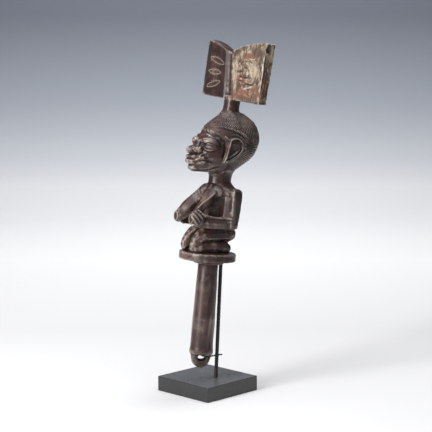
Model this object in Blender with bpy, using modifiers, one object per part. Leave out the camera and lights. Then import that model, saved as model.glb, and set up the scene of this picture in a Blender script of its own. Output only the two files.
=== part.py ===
"""A carved Yoruba dance staff on its display stand, modelled in millimetres and built in metres.

The staff's own frame has its origin where the handle meets the platform, +Z up the handle,
-Y the way the kneeling figure faces and +X her left. That frame leans back on the stand.
"""
import math

import bmesh
import bpy
from mathutils import Euler, Matrix, Vector

MM = 0.001
FIT_GAP = 0.3
WELD = 0.00001
SMOOTH_ANGLE = math.radians(35.0)

# Stand, in the world frame: a square block with its underside on the floor
BLOCK_SIDE = 90.0
BLOCK_HEIGHT = 19.0
BLOCK_BEVEL = 0.6
SOCKET_DEPTH = 8.0
ROD_FOOT = (13.4, 1.6)
ROD_RADIUS = 2.35
ROD_LEAN = math.radians(-2.9)
ROD_TOP = 146.6
# Cross pin brazed to the rod, in the rod's frame: a stub behind, then round into the lug's hole
PIN_RADIUS = 0.9
PIN_FINENESS = 1
PIN_STEPS = 2
PIN_PATH = [(2.6, 6.2, 29.8), (2.6, 1.0, 29.9), (3.3, -4.0, 30.1), (7.6, -9.6, 30.4), (10.5, -15.5, 30.8),
            (10.4, -21.0, 31.0), (7.0, -25.0, 30.9), (2.0, -24.2, 30.8), (-3.0, -22.4, 30.8)]
# Braze on the pin, two beads of it against the rod: centre and half sizes of each
BRAZE_BEADS = [((2.4, 0.4, 29.7), (1.3, 2.4, 1.5)), ((1.7, -2.6, 28.8), (1.0, 1.3, 2.6)),
               ((8.9, -12.0, 30.8), (1.6, 2.0, 1.0))]

# How the staff stands on it
STAFF_ORIGIN = (10.9, -9.5, 168.5)
STAFF_YAW = math.radians(-12.6)
STAFF_LEAN = math.radians(-6.05)

# Handle, collar and platform, turned about the staff's axis: (radius, height)
PLATFORM_RADIUS = 35.8
PLATFORM_TOP = 14.0
PLATFORM_UNDER = 4.0
PLATFORM_FORWARD = 2.2
PLATFORM_RISE = math.radians(0.9)
COLLAR_RADIUS = 19.2
COLLAR_UNDER = -0.6
HANDLE_PROFILE = [(12.5, -0.6), (12.7, -9.0), (13.4, -31.0), (13.7, -55.0), (14.3, -71.0), (14.4, -83.0),
                  (14.2, -98.0), (14.4, -107.0), (15.1, -112.0), (15.0, -114.6), (14.0, -116.2)]
HANDLE_END = -116.8
HANDLE_TILT = math.radians(0.5)
# Worn flat on the platform's rim: angle round from +X, half length and height
RIM_CHIP = (math.radians(-56.0), 5.0, 3.0)
CHIP_DEPTH = 2.0
CHIP_REACH = 1.5
CHIP_HEIGHT = 8.2
CHIP_SLOPE = 0.12

# Pierced lug below the handle: height, half depth (Y), half width (X)
LUG_CENTRE_Y = 1.1
LUG_SECTIONS = [(-113.0, 13.6, 10.5), (-118.0, 13.9, 9.0), (-122.0, 13.2, 8.1), (-125.5, 12.1, 7.6),
                (-128.5, 10.4, 7.0), (-131.5, 7.2, 5.6), (-133.4, 3.6, 3.2), (-134.1, 1.2, 1.2)]
LUG_HOLE_SIZE = (10.8, 6.6)
# How far along the bore, and how much wider it is there
LUG_HOLE_FLARE = [(-14.0, 1.8), (-7.5, 1.35), (-4.5, 1.0), (4.5, 1.0), (7.5, 1.35), (14.0, 1.8)]
LUG_HOLE_SIDES = 20
LUG_HOLE_CENTRE = (0.0, 1.9, -120.0)
LUG_HOLE_TURN = math.radians(-20.0)

# Double axe on top: both blades spread along X
AXE_RIGHT = -66.0
AXE_HALF_SPAN = 63.0
AXE_VALLEY = 264.5
AXE_HORN = 15.0
AXE_TOP_FALL = 5.0
AXE_BOTTOM = 206.6
AXE_ROLL_TOP = -0.026
AXE_ROLL_BOTTOM = -0.055
AXE_FRONT = 8.0
AXE_SEAM_SLOPE = -0.055
AXE_SWEEP = 0.115
AXE_BACK = 19.6
AXE_BACK_SLOPE = 0.085
AXE_SEAM = -3.0
AXE_SEAM_HALF = 7.5
AXE_SEAM_DEPTH = 4.5
AXE_BEVEL = 0.9
AXE_EDGE_STRIP = 6.0
AXE_EDGE_TAPER = 3.0
AXE_STATIONS = [-66.0, -63.0, -59.5, -48.0, -37.0, -26.0, -17.0, -11.0, -8.0, -5.5, -3.0, -0.5, 2.0,
                5.0, 11.0, 18.0, 28.0, 40.0, 52.0, 61.0, 67.0]
# Lens-shaped rings cut in each blade: centre x and z, half length, half height, slant in degrees
OVALS = [(-33.0, 256.0, 19.0, 4.2, -14.0), (-38.5, 242.0, 15.0, 4.0, 3.0), (-37.5, 228.5, 16.5, 4.0, 15.0)]
OVAL_GROOVE = 0.9
OVAL_SIDES = 14

RING_POINTS = 24
SOFT_VOXEL = 1.3
CRISP_VOXEL = 1.15
FIGURE_SHARE = 0.046
PLATFORM_SIDES = 40
HANDLE_SIDES = 32


def point(x, y, z):
    """A place given in millimetres, in metres."""
    return Vector((x, y, z)) * MM


def new_object(name, mesh, collection):
    mesh.shade_smooth()
    mesh.set_sharp_from_angle(angle=SMOOTH_ANGLE)
    obj = bpy.data.objects.new(name, mesh)
    collection.objects.link(obj)
    return obj


def mesh_from_rings(name, rings):
    """A closed skin over equal rings of points, with a flat cap at both ends."""
    bm = bmesh.new()
    rows = [[bm.verts.new(p) for p in ring] for ring in rings]
    count = len(rows[0])
    for low, high in zip(rows, rows[1:]):
        for i in range(count):
            j = (i + 1) % count
            bm.faces.new((low[i], low[j], high[j], high[i]))
    bm.faces.new(list(reversed(rows[0])))
    bm.faces.new(rows[-1])
    bmesh.ops.recalc_face_normals(bm, faces=bm.faces)
    mesh = bpy.data.meshes.new(name)
    bm.to_mesh(mesh)
    bm.free()
    return mesh


def oval(angle, half_x, half_y, square=2.0):
    """A point of a superellipse; square = 2 is an ellipse, more is boxier."""
    c, s = math.cos(angle), math.sin(angle)
    x = half_x * math.copysign(abs(c) ** (2.0 / square), c)
    y = half_y * math.copysign(abs(s) ** (2.0 / square), s)
    return x, y


def stacked(sections, square=2.0, narrow_front=0.0):
    """Rings across Z: (height, centre y, half depth, half width); the front may be narrower."""
    rings = []
    for height, centre, depth, width in sections:
        ring = []
        for i in range(RING_POINTS):
            x, y = oval(2 * math.pi * i / RING_POINTS, width, depth, square)
            x *= 1.0 + narrow_front * y / depth
            ring.append(point(x, centre + y, height))
        rings.append(ring)
    return rings


def limb(stations, side=1.0, square=2.2):
    """Rings square to a bent path: (x, y, z, half width, half thickness)."""
    centres = [Vector((x * side, y, z)) for x, y, z, _, _ in stations]
    rings = []
    for k, (_, _, _, width, thick) in enumerate(stations):
        ahead = centres[min(k + 1, len(centres) - 1)] - centres[max(k - 1, 0)]
        ahead.normalize()
        across = Vector((1, 0, 0)) - ahead * ahead.x
        across.normalize()
        normal = ahead.cross(across)
        ring = []
        for i in range(RING_POINTS):
            u, v = oval(2 * math.pi * i / RING_POINTS, width, thick, square)
            ring.append((centres[k] + across * u + normal * v) * MM)
        rings.append(ring)
    return rings


def tube(path, radius, sides, across):
    """Rings of an even tube along a path; across is a direction that stays off the path's own."""
    centres = [Vector(place) for place in path]
    rings = []
    for k, centre in enumerate(centres):
        ahead = centres[min(k + 1, len(centres) - 1)] - centres[max(k - 1, 0)]
        ahead.normalize()
        normal = ahead.cross(across).normalized()
        flat = normal.cross(ahead)
        ring = []
        for i in range(sides):
            angle = 2 * math.pi * i / sides
            ring.append((centre + (flat * math.cos(angle) + normal * math.sin(angle)) * radius) * MM)
        rings.append(ring)
    return rings


class Clay:
    """Overlapping closed forms in one mesh, to be fused into one skin."""

    def __init__(self):
        self.bm = bmesh.new()

    def rings(self, rings):
        mesh = mesh_from_rings("form", rings)
        self.bm.from_mesh(mesh)
        bpy.data.meshes.remove(mesh)

    def ball(self, centre, radii, turn=(0, 0, 0), fine=3):
        """An ellipsoid; turn is in degrees about X, Y and Z."""
        spin = Euler([math.radians(a) for a in turn]).to_matrix().to_4x4()
        size = Matrix.Diagonal((*[r * MM for r in radii], 1))
        place = Matrix.Translation(point(*centre)) @ spin @ size
        bmesh.ops.create_icosphere(self.bm, subdivisions=fine, radius=1.0, matrix=place)

    def mirrored_ball(self, centre, radii, turn=(0, 0, 0), fine=3):
        x, y, z = centre
        a, b, c = turn
        self.ball((x, y, z), radii, (a, b, c), fine)
        self.ball((-x, y, z), radii, (a, -b, -c), fine)

    def mirrored_limb(self, stations, square=2.2):
        for side in (1.0, -1.0):
            self.rings(limb(stations, side, square))

    def add_mesh(self, mesh):
        self.bm.from_mesh(mesh)

    def fused(self, name, voxel, smooth, factor=0.5):
        """One skin round everything, softened by a few rounds of smoothing."""
        mesh = bpy.data.meshes.new(name)
        self.bm.to_mesh(mesh)
        self.bm.free()
        obj = bpy.data.objects.new(name, mesh)
        bpy.context.scene.collection.objects.link(obj)
        skin = obj.modifiers.new("skin", 'REMESH')
        skin.mode = 'VOXEL'
        skin.voxel_size = voxel * MM
        if smooth:
            soften = obj.modifiers.new("soften", 'SMOOTH')
            soften.factor = factor
            soften.iterations = smooth
        return finished_mesh(obj)


def finished_mesh(obj):
    """The object's evaluated mesh, in the object's own frame; the object is removed."""
    bpy.context.view_layer.update()
    graph = bpy.context.evaluated_depsgraph_get()
    mesh = bpy.data.meshes.new_from_object(obj.evaluated_get(graph))
    bpy.data.objects.remove(obj)
    return mesh


def turned(name, profile, steps):
    """A solid of revolution about Z from (radius, height) points, outer side downwards."""
    curve_mesh = bpy.data.meshes.new(name)
    curve_mesh.from_pydata([point(r, 0, z) for r, z in profile],
                           [(i, i + 1) for i in range(len(profile) - 1)], [])
    obj = bpy.data.objects.new(name, curve_mesh)
    bpy.context.scene.collection.objects.link(obj)
    screw = obj.modifiers.new("turn", 'SCREW')
    screw.steps = steps
    screw.render_steps = steps
    screw.use_merge_vertices = True
    screw.merge_threshold = WELD
    screw.use_normal_calculate = True
    return finished_mesh(obj)


# Kneeling figure: (height, centre y, half depth, half width) for what is stacked up Z
TORSO = [(34.0, 8.0, 16.0, 18.0), (46.0, 5.0, 17.0, 15.5), (58.0, 4.5, 17.0, 14.0),
         (70.0, 5.0, 18.0, 14.5), (82.0, 8.5, 16.5, 19.0), (90.0, 11.5, 14.5, 25.0),
         (94.5, 10.5, 14.5, 24.0), (98.0, 8.8, 14.6, 18.5), (101.5, 7.0, 14.6, 14.0)]
NECK = [(92.0, 6.5, 14.0, 13.0), (101.0, 6.0, 14.6, 13.2), (107.0, 6.3, 14.8, 13.3),
        (113.0, 6.8, 15.0, 13.6), (117.0, 5.0, 19.0, 16.5), (124.0, 9.0, 19.0, 17.0)]
# Shin of her left side: (x, y, z, half width, half thickness)
SHIN = [(12.2, -32.0, 18.5, 3.6, 4.6), (12.4, -26.0, 20.5, 6.4, 7.4), (12.4, -6.0, 22.0, 8.4, 9.0),
        (12.0, 11.0, 21.5, 8.0, 8.5), (11.8, 17.5, 20.0, 6.4, 6.6)]
# Faceted limbs of her left side: the section's corners in X and Z at each Y
BREAST = [(-1.0, [(1.5, 88.0), (8.0, 97.0), (16.0, 90.0), (15.5, 84.0), (13.0, 79.0), (3.0, 79.0)]),
          (-11.0, [(1.5, 88.0), (8.0, 100.5), (19.5, 90.0), (17.5, 84.0), (13.5, 77.0), (3.0, 74.0)]),
          (-20.0, [(3.0, 80.0), (10.5, 90.5), (20.5, 83.5), (18.5, 77.0), (14.0, 68.5), (5.0, 66.0)]),
          (-30.0, [(6.5, 70.0), (14.0, 78.0), (20.0, 76.5), (20.0, 70.0), (17.0, 58.0), (8.5, 56.0)]),
          (-38.0, [(10.0, 60.0), (15.0, 68.5), (19.5, 68.0), (23.0, 62.0), (21.5, 51.5), (12.0, 50.0)]),
          (-42.0, [(11.5, 57.0), (15.5, 64.5), (19.5, 63.5), (24.0, 58.5), (22.5, 50.0), (13.0, 48.0)])]
THIGH = [
    (24.0, [(4.0, 45.0), (12.0, 46.0), (19.0, 44.0), (21.5, 39.0), (19.0, 33.0), (12.0, 31.0), (4.0, 33.0)]),
    (8.0, [(3.0, 47.0), (12.0, 48.5), (20.0, 46.0), (22.5, 40.0), (21.5, 33.5), (12.0, 31.0), (3.0, 32.0)]),
    (-10.0, [(3.0, 46.0), (12.0, 47.5), (18.5, 45.5), (22.0, 38.5), (21.5, 32.5), (13.0, 29.5), (3.5, 30.0)]),
    (-22.0, [(3.5, 42.0), (10.0, 44.5), (14.5, 44.5), (20.0, 37.0), (20.5, 31.0), (14.0, 26.0), (4.0, 27.0)]),
    (-28.5, [(4.5, 36.0), (9.0, 38.5), (13.0, 38.5), (17.0, 33.0), (18.0, 27.0), (14.0, 19.0), (5.0, 20.0)]),
    (-33.0, [(6.0, 29.0), (9.0, 32.0), (12.5, 32.0), (15.0, 28.0), (15.5, 22.0), (13.0, 15.0), (6.5, 16.0)]),
    (-35.5, [(8.0, 24.0), (10.0, 26.0), (11.8, 26.0), (13.0, 23.5), (13.0, 20.0), (11.5, 17.5), (8.5, 18.0)]),
]
FOREARM = [(22.0, [(18.0, 58.0), (23.5, 58.5), (24.5, 55.0), (27.5, 51.0), (25.5, 45.8), (18.0, 46.0)]),
           (5.0, [(17.0, 58.5), (24.0, 59.3), (25.0, 55.5), (28.5, 51.5), (26.5, 45.6), (18.0, 45.5)]),
           (-12.0, [(17.0, 59.0), (24.0, 60.0), (25.0, 56.0), (28.0, 51.5), (26.0, 45.3), (18.0, 46.0)]),
           (-24.0, [(16.5, 61.0), (23.5, 62.2), (24.5, 58.0), (27.0, 52.5), (25.0, 46.0), (17.0, 46.5)]),
           (-33.0, [(16.0, 62.0), (21.5, 63.5), (23.5, 60.0), (25.0, 54.0), (23.5, 48.0), (17.0, 48.0)])]
# Wood left standing between the thighs: (height, front, back, half width)
LAP = [(13.0, -27.0, 6.0, 7.0), (30.0, -24.0, 6.0, 7.0), (37.0, -16.0, 6.0, 6.0)]
# Upper arm of her left side, outlined in X and Y at each height
UPPER_ARM = [(96.0, [(15.0, 6.0), (20.0, 7.0), (26.0, 12.0), (23.0, 22.5), (13.0, 23.0)]),
             (93.0, [(14.0, 3.5), (22.0, 3.5), (30.0, 10.0), (25.0, 26.0), (12.0, 26.0)]),
             (84.0, [(15.0, 3.0), (21.5, 2.0), (31.0, 9.5), (25.0, 26.4), (13.0, 26.0)]),
             (70.0, [(16.0, 2.5), (21.5, 1.5), (30.8, 9.5), (24.6, 25.6), (14.0, 25.0)]),
             (58.0, [(16.0, 2.0), (21.5, 1.0), (30.4, 9.5), (24.4, 24.6), (15.0, 24.0)]),
             (49.0, [(17.0, 3.0), (22.0, 2.0), (30.0, 9.0), (24.2, 23.4), (17.0, 22.5)]),
             (45.0, [(19.0, 6.0), (22.0, 5.0), (27.0, 10.0), (23.0, 20.0), (19.0, 19.0)])]
# Fingers of her left hand, laid over the breast, of her right hand, which holds the other from below,
# and the thumbs
FINGERS = [[(26.0, -35.4, 53.8), (25.8, -41.0, 60.4), (22.5, -44.6, 65.0)],
           [(26.5, -31.6, 57.7), (25.5, -37.6, 63.0), (22.0, -41.0, 66.8)],
           [(26.0, -26.4, 60.3), (25.0, -32.1, 63.7), (21.5, -36.1, 68.2)],
           [(26.0, -37.6, 50.4), (25.5, -42.8, 56.2), (22.5, -45.6, 60.2)]]
RIGHT_FINGERS = [[(-26.0, -22.0, 50.5), (-25.0, -28.0, 53.0), (-23.5, -33.0, 56.0)],
                 [(-26.0, -21.0, 54.0), (-25.0, -27.0, 57.0), (-23.0, -32.0, 60.0)],
                 [(-25.5, -20.0, 57.5), (-24.5, -26.0, 61.0), (-22.0, -31.0, 64.0)],
                 [(-24.5, -22.0, 47.5), (-23.5, -28.0, 49.0), (-21.5, -33.0, 51.0)]]
FINGER_RADIUS = 1.75
FINGER_SIDES = 10
PALMS = [((21.5, -34.0, 55.5), (5.2, 9.0, 8.4)), ((-21.5, -25.0, 54.0), (5.0, 8.0, 7.4))]
THUMB = [(20.0, -24.0, 49.0), (18.0, -30.0, 48.2), (14.0, -35.0, 48.6)]


def facets(rows, side):
    """Rings across Y from a limb's table, for her left (1) or right (-1) side."""
    return [[point(x * side, y, z) for x, z in corners] for y, corners in rows]


def lap_rings():
    corners = ((-1, True), (1, True), (1, False), (-1, False))
    return [[point(half * side, front if ahead else back, height) for side, ahead in corners]
            for height, front, back, half in LAP]


def body_forms(clay):
    clay.rings(stacked(TORSO, square=2.3))
    clay.rings(stacked(NECK))
    clay.mirrored_limb(SHIN)
    clay.rings(lap_rings())
    for side in (1.0, -1.0):
        for rows in (BREAST, THIGH, FOREARM):
            clay.rings(facets(rows, side))
        clay.rings([[point(x * side, y, height) for x, y in outline] for height, outline in UPPER_ARM])
    # Chest, buttocks, feet and the slope from neck to shoulder
    clay.ball((0, -3.0, 90.0), (21.0, 15.5, 11.0))
    clay.mirrored_ball((11.0, 17.0, 39.0), (12.0, 10.0, 10.5))
    clay.mirrored_ball((12.0, 16.8, 20.5), (6.2, 6.2, 6.4))
    clay.mirrored_ball((15.0, 12.0, 92.0), (14.0, 13.0, 5.5), (0, 20, 0))


def hands(clay):
    for centre, radii in PALMS:
        clay.ball(centre, radii)
    thumbs = [[(x * side, y, z) for x, y, z in THUMB] for side in (1.0, -1.0)]
    for path in FINGERS + RIGHT_FINGERS + thumbs:
        clay.rings(tube(path, FINGER_RADIUS, FINGER_SIDES, Vector((1, 0, 0))))


# Head: (height, centre y, half depth, half width)
CRANIUM = [(120.0, 10.0, 17.0, 14.0), (126.0, 13.0, 22.5, 18.0), (132.0, 15.0, 28.5, 22.0),
           (139.0, 16.0, 34.0, 25.0), (148.0, 16.0, 38.5, 27.0), (158.0, 15.8, 40.5, 27.6),
           (167.0, 16.0, 38.8, 26.8), (175.0, 17.2, 33.5, 24.3), (181.5, 18.6, 26.7, 20.2),
           (187.0, 17.8, 19.0, 15.5), (191.0, 15.0, 13.6, 12.2)]
FACE = [(114.5, -11.0, 22.0, 13.0), (118.0, -12.5, 25.5, 16.0), (124.0, -12.0, 25.5, 18.0),
        (132.0, -9.0, 25.5, 20.5), (142.0, -6.0, 24.0, 22.5), (152.0, -5.0, 23.0, 23.5),
        (160.0, -3.0, 22.5, 22.0), (168.0, 0.0, 20.5, 19.0)]
STEM = [(188.0, 13.4, 12.0, 11.6), (194.0, 13.4, 9.6, 9.4), (200.0, 14.0, 9.4, 9.4), (212.0, 15.0, 9.8, 9.8)]
EAR_OUTLINE = [(-1.0, 156.0), (4.0, 158.2), (11.0, 157.8), (16.6, 154.0), (18.4, 148.0), (15.5, 141.5),
               (8.5, 135.5), (0.5, 131.0), (-5.8, 129.4)]
EAR_PLATE = (22.0, 28.2)
EAR_RIM = 1.7
EAR_RIM_SIDES = 10


# Nose: (height, half width, front) and its plan: share of the half width and depth behind the front
NOSE = [(159.0, 2.6, -24.0), (153.0, 4.2, -31.5), (148.5, 6.0, -34.5), (145.6, 8.2, -41.0),
        (143.2, 9.6, -45.2), (140.6, 10.2, -46.8), (138.0, 9.6, -46.0), (136.2, 7.0, -43.0)]
NOSE_PLAN = [(-1.3, 22.0), (-1.0, 11.0), (-0.85, 6.0), (-0.45, 1.2), (0.0, 0.0), (0.45, 1.2), (0.85, 6.0),
             (1.0, 11.0), (1.3, 22.0)]


def head_forms(clay):
    clay.rings(stacked(CRANIUM, square=2.15))
    clay.rings(stacked(FACE, square=2.5, narrow_front=0.12))
    clay.rings(stacked(STEM, square=2.6))
    # Brow, bulging upper lid, muzzle, chin and the nose with its wings
    clay.mirrored_ball((13.0, -17.2, 157.4), (11.0, 6.2, 5.0), (0, 24, 38))
    clay.mirrored_ball((15.0, -21.4, 152.0), (11.4, 8.4, 5.4), (0, 16, 38))
    clay.ball((0, -28.5, 128.5), (16.5, 13.5, 10.5))
    clay.ball((0, -33.0, 119.0), (9.5, 8.4, 5.2))
    clay.rings([[point(half * share, front + behind, height) for share, behind in NOSE_PLAN]
                for height, half, front in NOSE])
    clay.mirrored_ball((8.0, -33.6, 142.2), (4.6, 6.4, 4.6), (0, 0, 20))


def face_features(clay):
    # Eyeballs, both lips, and the ears as a plate with a raised rim
    clay.mirrored_ball((15.0, -19.8, 146.8), (9.3, 7.4, 4.9), (0, 8, 38))
    clay.ball((0, -38.2, 132.4), (9.8, 6.6, 2.4), (6, 0, 0))
    clay.ball((0, -38.0, 126.3), (9.6, 6.6, 3.0), (-4, 0, 0))
    for side in (1.0, -1.0):
        plate = [[point(x * side, y, z) for y, z in EAR_OUTLINE] for x in EAR_PLATE]
        clay.rings(plate)
        rim = [(EAR_PLATE[1] * side, y, z) for y, z in EAR_OUTLINE + EAR_OUTLINE[:1]]
        clay.rings(tube(rim, EAR_RIM, EAR_RIM_SIDES, Vector((1, 0, 0))))


def figure_mesh():
    """Kneeling woman with the stem on her head, as one skin."""
    soft = Clay()
    body_forms(soft)
    head_forms(soft)
    fused = soft.fused("figure", SOFT_VOXEL, 2)
    crisp = Clay()
    crisp.add_mesh(fused)
    hands(crisp)
    face_features(crisp)
    return crisp.fused("figure", CRISP_VOXEL, 2)


def axe_top(x):
    """Height of the blades' upper outline: a valley at the seam and convex horns."""
    reach = min(1.0, abs(x - AXE_SEAM) / AXE_HALF_SPAN)
    return AXE_VALLEY + AXE_HORN * (1.0 - (1.0 - reach) ** 1.8) + AXE_ROLL_TOP * x


def axe_front(x, z):
    """Depth of the blades' front face, which sweeps back towards the horns."""
    slope = AXE_SEAM_SLOPE + AXE_SWEEP * min(1.0, abs(x) / AXE_HALF_SPAN)
    return AXE_FRONT + slope * (z - AXE_BOTTOM)


def axe_rings():
    rings = []
    for x in AXE_STATIONS:
        low = AXE_BOTTOM + AXE_ROLL_BOTTOM * x
        high = axe_top(x)
        seam = max(0.0, 1.0 - abs(x - AXE_SEAM) / AXE_SEAM_HALF)
        groove = AXE_SEAM_DEPTH * (1.0 - (1.0 - seam) ** 2)
        edge = max(0.0, AXE_RIGHT + AXE_EDGE_STRIP - x) / AXE_EDGE_STRIP
        taper = AXE_EDGE_TAPER * edge
        fall = AXE_TOP_FALL * max(0.0, 1.0 - abs(x - AXE_SEAM) / AXE_HALF_SPAN) ** 2
        corners = []
        for z, lift, drop in ((low, 1.0, 0.0), (high, -1.0, fall)):
            front = axe_front(x, z) + groove + taper
            back = AXE_BACK + AXE_BACK_SLOPE * (z - AXE_BOTTOM) - groove
            corners.append(((front, z + lift * AXE_BEVEL), (front + AXE_BEVEL, z),
                            (back - AXE_BEVEL, z - drop), (back, z - drop + lift * AXE_BEVEL)))
        bottom, top = corners
        outline = list(bottom) + list(reversed(top))
        rings.append([point(x, y, z) for y, z in outline])
    return rings


def oval_groove(centre_x, centre_z, half_long, half_high, slant):
    """A thin ring lying in the blade's front face, lens-shaped, that cuts its outline."""
    tilt = math.radians(slant)
    rings = []
    for i in range(OVAL_SIDES):
        angle = 2 * math.pi * i / OVAL_SIDES
        along = half_long * math.cos(angle)
        up = half_high * math.sin(angle) * abs(math.sin(angle)) ** 0.3
        x = centre_x + along * math.cos(tilt) - up * math.sin(tilt)
        z = centre_z + along * math.sin(tilt) + up * math.cos(tilt)
        out = Vector((math.cos(angle) * half_high, 0, math.sin(angle) * half_long)).normalized()
        out = Matrix.Rotation(-tilt, 3, 'Y') @ out
        middle = Vector((x, axe_front(x, z), z))
        ring = [middle + out * OVAL_GROOVE, middle + Vector((0, -1, 0)) * OVAL_GROOVE,
                middle - out * OVAL_GROOVE, middle + Vector((0, 1, 0)) * OVAL_GROOVE]
        rings.append([p * MM for p in ring])
    return loop_mesh("oval", rings)


def loop_mesh(name, rings):
    """A closed loop skinned through equal rings of points."""
    bm = bmesh.new()
    rows = [[bm.verts.new(p) for p in ring] for ring in rings]
    count = len(rows[0])
    for low, high in zip(rows, rows[1:] + rows[:1]):
        for i in range(count):
            j = (i + 1) % count
            bm.faces.new((low[i], low[j], high[j], high[i]))
    bmesh.ops.recalc_face_normals(bm, faces=bm.faces)
    mesh = bpy.data.meshes.new(name)
    bm.to_mesh(mesh)
    bm.free()
    return mesh


def hole_rings():
    """The lug's bore, wider at both mouths, along its own turned axis."""
    turn = Matrix.Rotation(LUG_HOLE_TURN, 3, 'Z')
    rings = []
    for reach, grow in LUG_HOLE_FLARE:
        ring = []
        for i in range(LUG_HOLE_SIDES):
            angle = 2 * math.pi * i / LUG_HOLE_SIDES
            across, up = oval(angle, LUG_HOLE_SIZE[0] / 2 * grow, LUG_HOLE_SIZE[1] / 2 * grow)
            ring.append((Vector(LUG_HOLE_CENTRE) + turn @ Vector((reach, across, up))) * MM)
        rings.append(ring)
    return rings


def lug_rings():
    rings = []
    for height, depth, width in LUG_SECTIONS:
        rings.append([point(x, LUG_CENTRE_Y + y, height)
                      for x, y in (oval(2 * math.pi * i / RING_POINTS, width, depth, 2.3)
                                   for i in range(RING_POINTS))])
    return rings


def platform_profile():
    r, top, under = PLATFORM_RADIUS, PLATFORM_TOP, PLATFORM_UNDER
    return [(0.0, top), (r - 1.2, top), (r - 0.3, top - 0.4), (r, top - 1.3), (r, under + 1.3),
            (r - 0.4, under + 0.4), (r - 1.4, under), (COLLAR_RADIUS + 2.0, under - 0.6), (0.0, under - 0.6)]


def handle_profile():
    collar = [(0.0, PLATFORM_UNDER + 2.0), (COLLAR_RADIUS, PLATFORM_UNDER + 2.0),
              (COLLAR_RADIUS, COLLAR_UNDER + 1.0), (COLLAR_RADIUS - 1.0, COLLAR_UNDER)]
    return collar + HANDLE_PROFILE + [(0.0, HANDLE_END)]


def material(name, colour, roughness, metallic=0.0):
    made = bpy.data.materials.new(name)
    made.use_nodes = True
    shader = made.node_tree.nodes["Principled BSDF"]
    shader.inputs["Base Color"].default_value = (*colour, 1.0)
    shader.inputs["Roughness"].default_value = roughness
    shader.inputs["Metallic"].default_value = metallic
    return made


def tool_object(name, mesh, frame, cutters):
    """A form that the staff is joined with or cut by; it isn't a piece itself."""
    obj = new_object(name, mesh, cutters)
    obj.parent = frame
    obj.hide_render = True
    obj.display_type = 'WIRE'
    return obj


def combine(target, tool, operation):
    step = target.modifiers.new(tool.name, 'BOOLEAN')
    step.operation = operation
    step.solver = 'EXACT'
    step.object = tool


def staff_tool(name, mesh, frame, cutters, staff, operation):
    tool = tool_object(name, mesh, frame, cutters)
    combine(staff, tool, operation)
    return tool


def build_staff(parts, cutters):
    frame = bpy.data.objects.new("staff_frame", None)
    parts.objects.link(frame)
    frame.location = point(*STAFF_ORIGIN)
    frame.rotation_euler = (STAFF_LEAN, 0.0, STAFF_YAW)

    staff = new_object("staff", figure_mesh(), parts)
    staff.parent = frame
    thin = staff.modifiers.new("thin", 'DECIMATE')
    thin.ratio = FIGURE_SHARE
    thin.use_collapse_triangulate = True

    platform = staff_tool("platform", turned("platform", platform_profile(), PLATFORM_SIDES), frame, cutters,
                          staff, 'UNION')
    platform.location = point(0.0, -PLATFORM_FORWARD, 0.0)
    platform.rotation_euler = (PLATFORM_RISE, 0.0, 0.0)
    handle = staff_tool("handle", turned("handle", handle_profile(), HANDLE_SIDES), frame, cutters,
                        staff, 'UNION')
    handle.rotation_euler = (HANDLE_TILT, 0.0, 0.0)
    staff_tool("lug", mesh_from_rings("lug", lug_rings()), frame, cutters, staff, 'UNION')
    staff_tool("axe", mesh_from_rings("axe", axe_rings()), frame, cutters, staff, 'UNION')
    staff_tool("lug_hole", mesh_from_rings("lug_hole", hole_rings()), frame, cutters, staff, 'DIFFERENCE')
    for i, (x, z, long, high, slant) in enumerate(OVALS):
        for side, label in ((1.0, "right"), (-1.0, "left")):
            groove = oval_groove(x * side, z, long, high, slant * side)
            staff_tool(f"oval_{label}_{i}", groove, frame, cutters, staff, 'DIFFERENCE')
    angle, half, height = RIM_CHIP
    chip = staff_tool("rim_chip", box_mesh("rim_chip", (CHIP_DEPTH, half, height)), frame, cutters, staff,
                      'DIFFERENCE')
    away = PLATFORM_RADIUS + CHIP_REACH
    chip.location = point(away * math.cos(angle), away * math.sin(angle) - PLATFORM_FORWARD, CHIP_HEIGHT)
    chip.rotation_euler = (0.0, CHIP_SLOPE, angle)
    staff.data.materials.append(material("dark_wood", (0.085, 0.05, 0.04), 0.42))


def box_mesh(name, half):
    bm = bmesh.new()
    bmesh.ops.create_cube(bm, size=2.0, matrix=Matrix.Diagonal((*[h * MM for h in half], 1)))
    mesh = bpy.data.meshes.new(name)
    bm.to_mesh(mesh)
    bm.free()
    return mesh


def build_block(parts, cutters):
    bpy.ops.mesh.primitive_cube_add(size=1.0, location=(0.0, 0.0, BLOCK_HEIGHT / 2 * MM))
    block = adopt("base_block", parts)
    block.scale = (BLOCK_SIDE * MM, BLOCK_SIDE * MM, BLOCK_HEIGHT * MM)
    bpy.ops.object.transform_apply(location=False, rotation=False, scale=True)
    rounding = block.modifiers.new("edges", 'BEVEL')
    rounding.width = BLOCK_BEVEL * MM
    rounding.segments = 2
    block.data.materials.append(material("charcoal_paint", (0.055, 0.056, 0.06), 0.55))

    socket = rod_cylinder("socket", ROD_RADIUS + FIT_GAP, -SOCKET_DEPTH - FIT_GAP, 6.0, cutters)
    socket.hide_render = True
    socket.display_type = 'WIRE'
    combine(block, socket, 'DIFFERENCE')


def adopt(name, collection):
    """Take the object that an operator has just added: name it and move it to its collection."""
    obj = bpy.context.object
    obj.name = name
    obj.data.name = name
    for home in list(obj.users_collection):
        home.objects.unlink(obj)
    collection.objects.link(obj)
    bpy.context.view_layer.objects.active = obj
    return obj


def rod_matrix():
    turn = Euler((ROD_LEAN, 0.0, STAFF_YAW)).to_matrix().to_4x4()
    return Matrix.Translation(point(*ROD_FOOT, BLOCK_HEIGHT)) @ turn


def rod_cylinder(name, radius, low, high, collection):
    """An upright cylinder along the rod's leaning axis, between two heights on it."""
    middle = rod_matrix() @ point(0, 0, (low + high) / 2)
    bpy.ops.mesh.primitive_cylinder_add(vertices=24, radius=radius * MM, depth=(high - low) * MM,
                                        location=middle, rotation=(ROD_LEAN, 0.0, STAFF_YAW))
    return adopt(name, collection)


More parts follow.
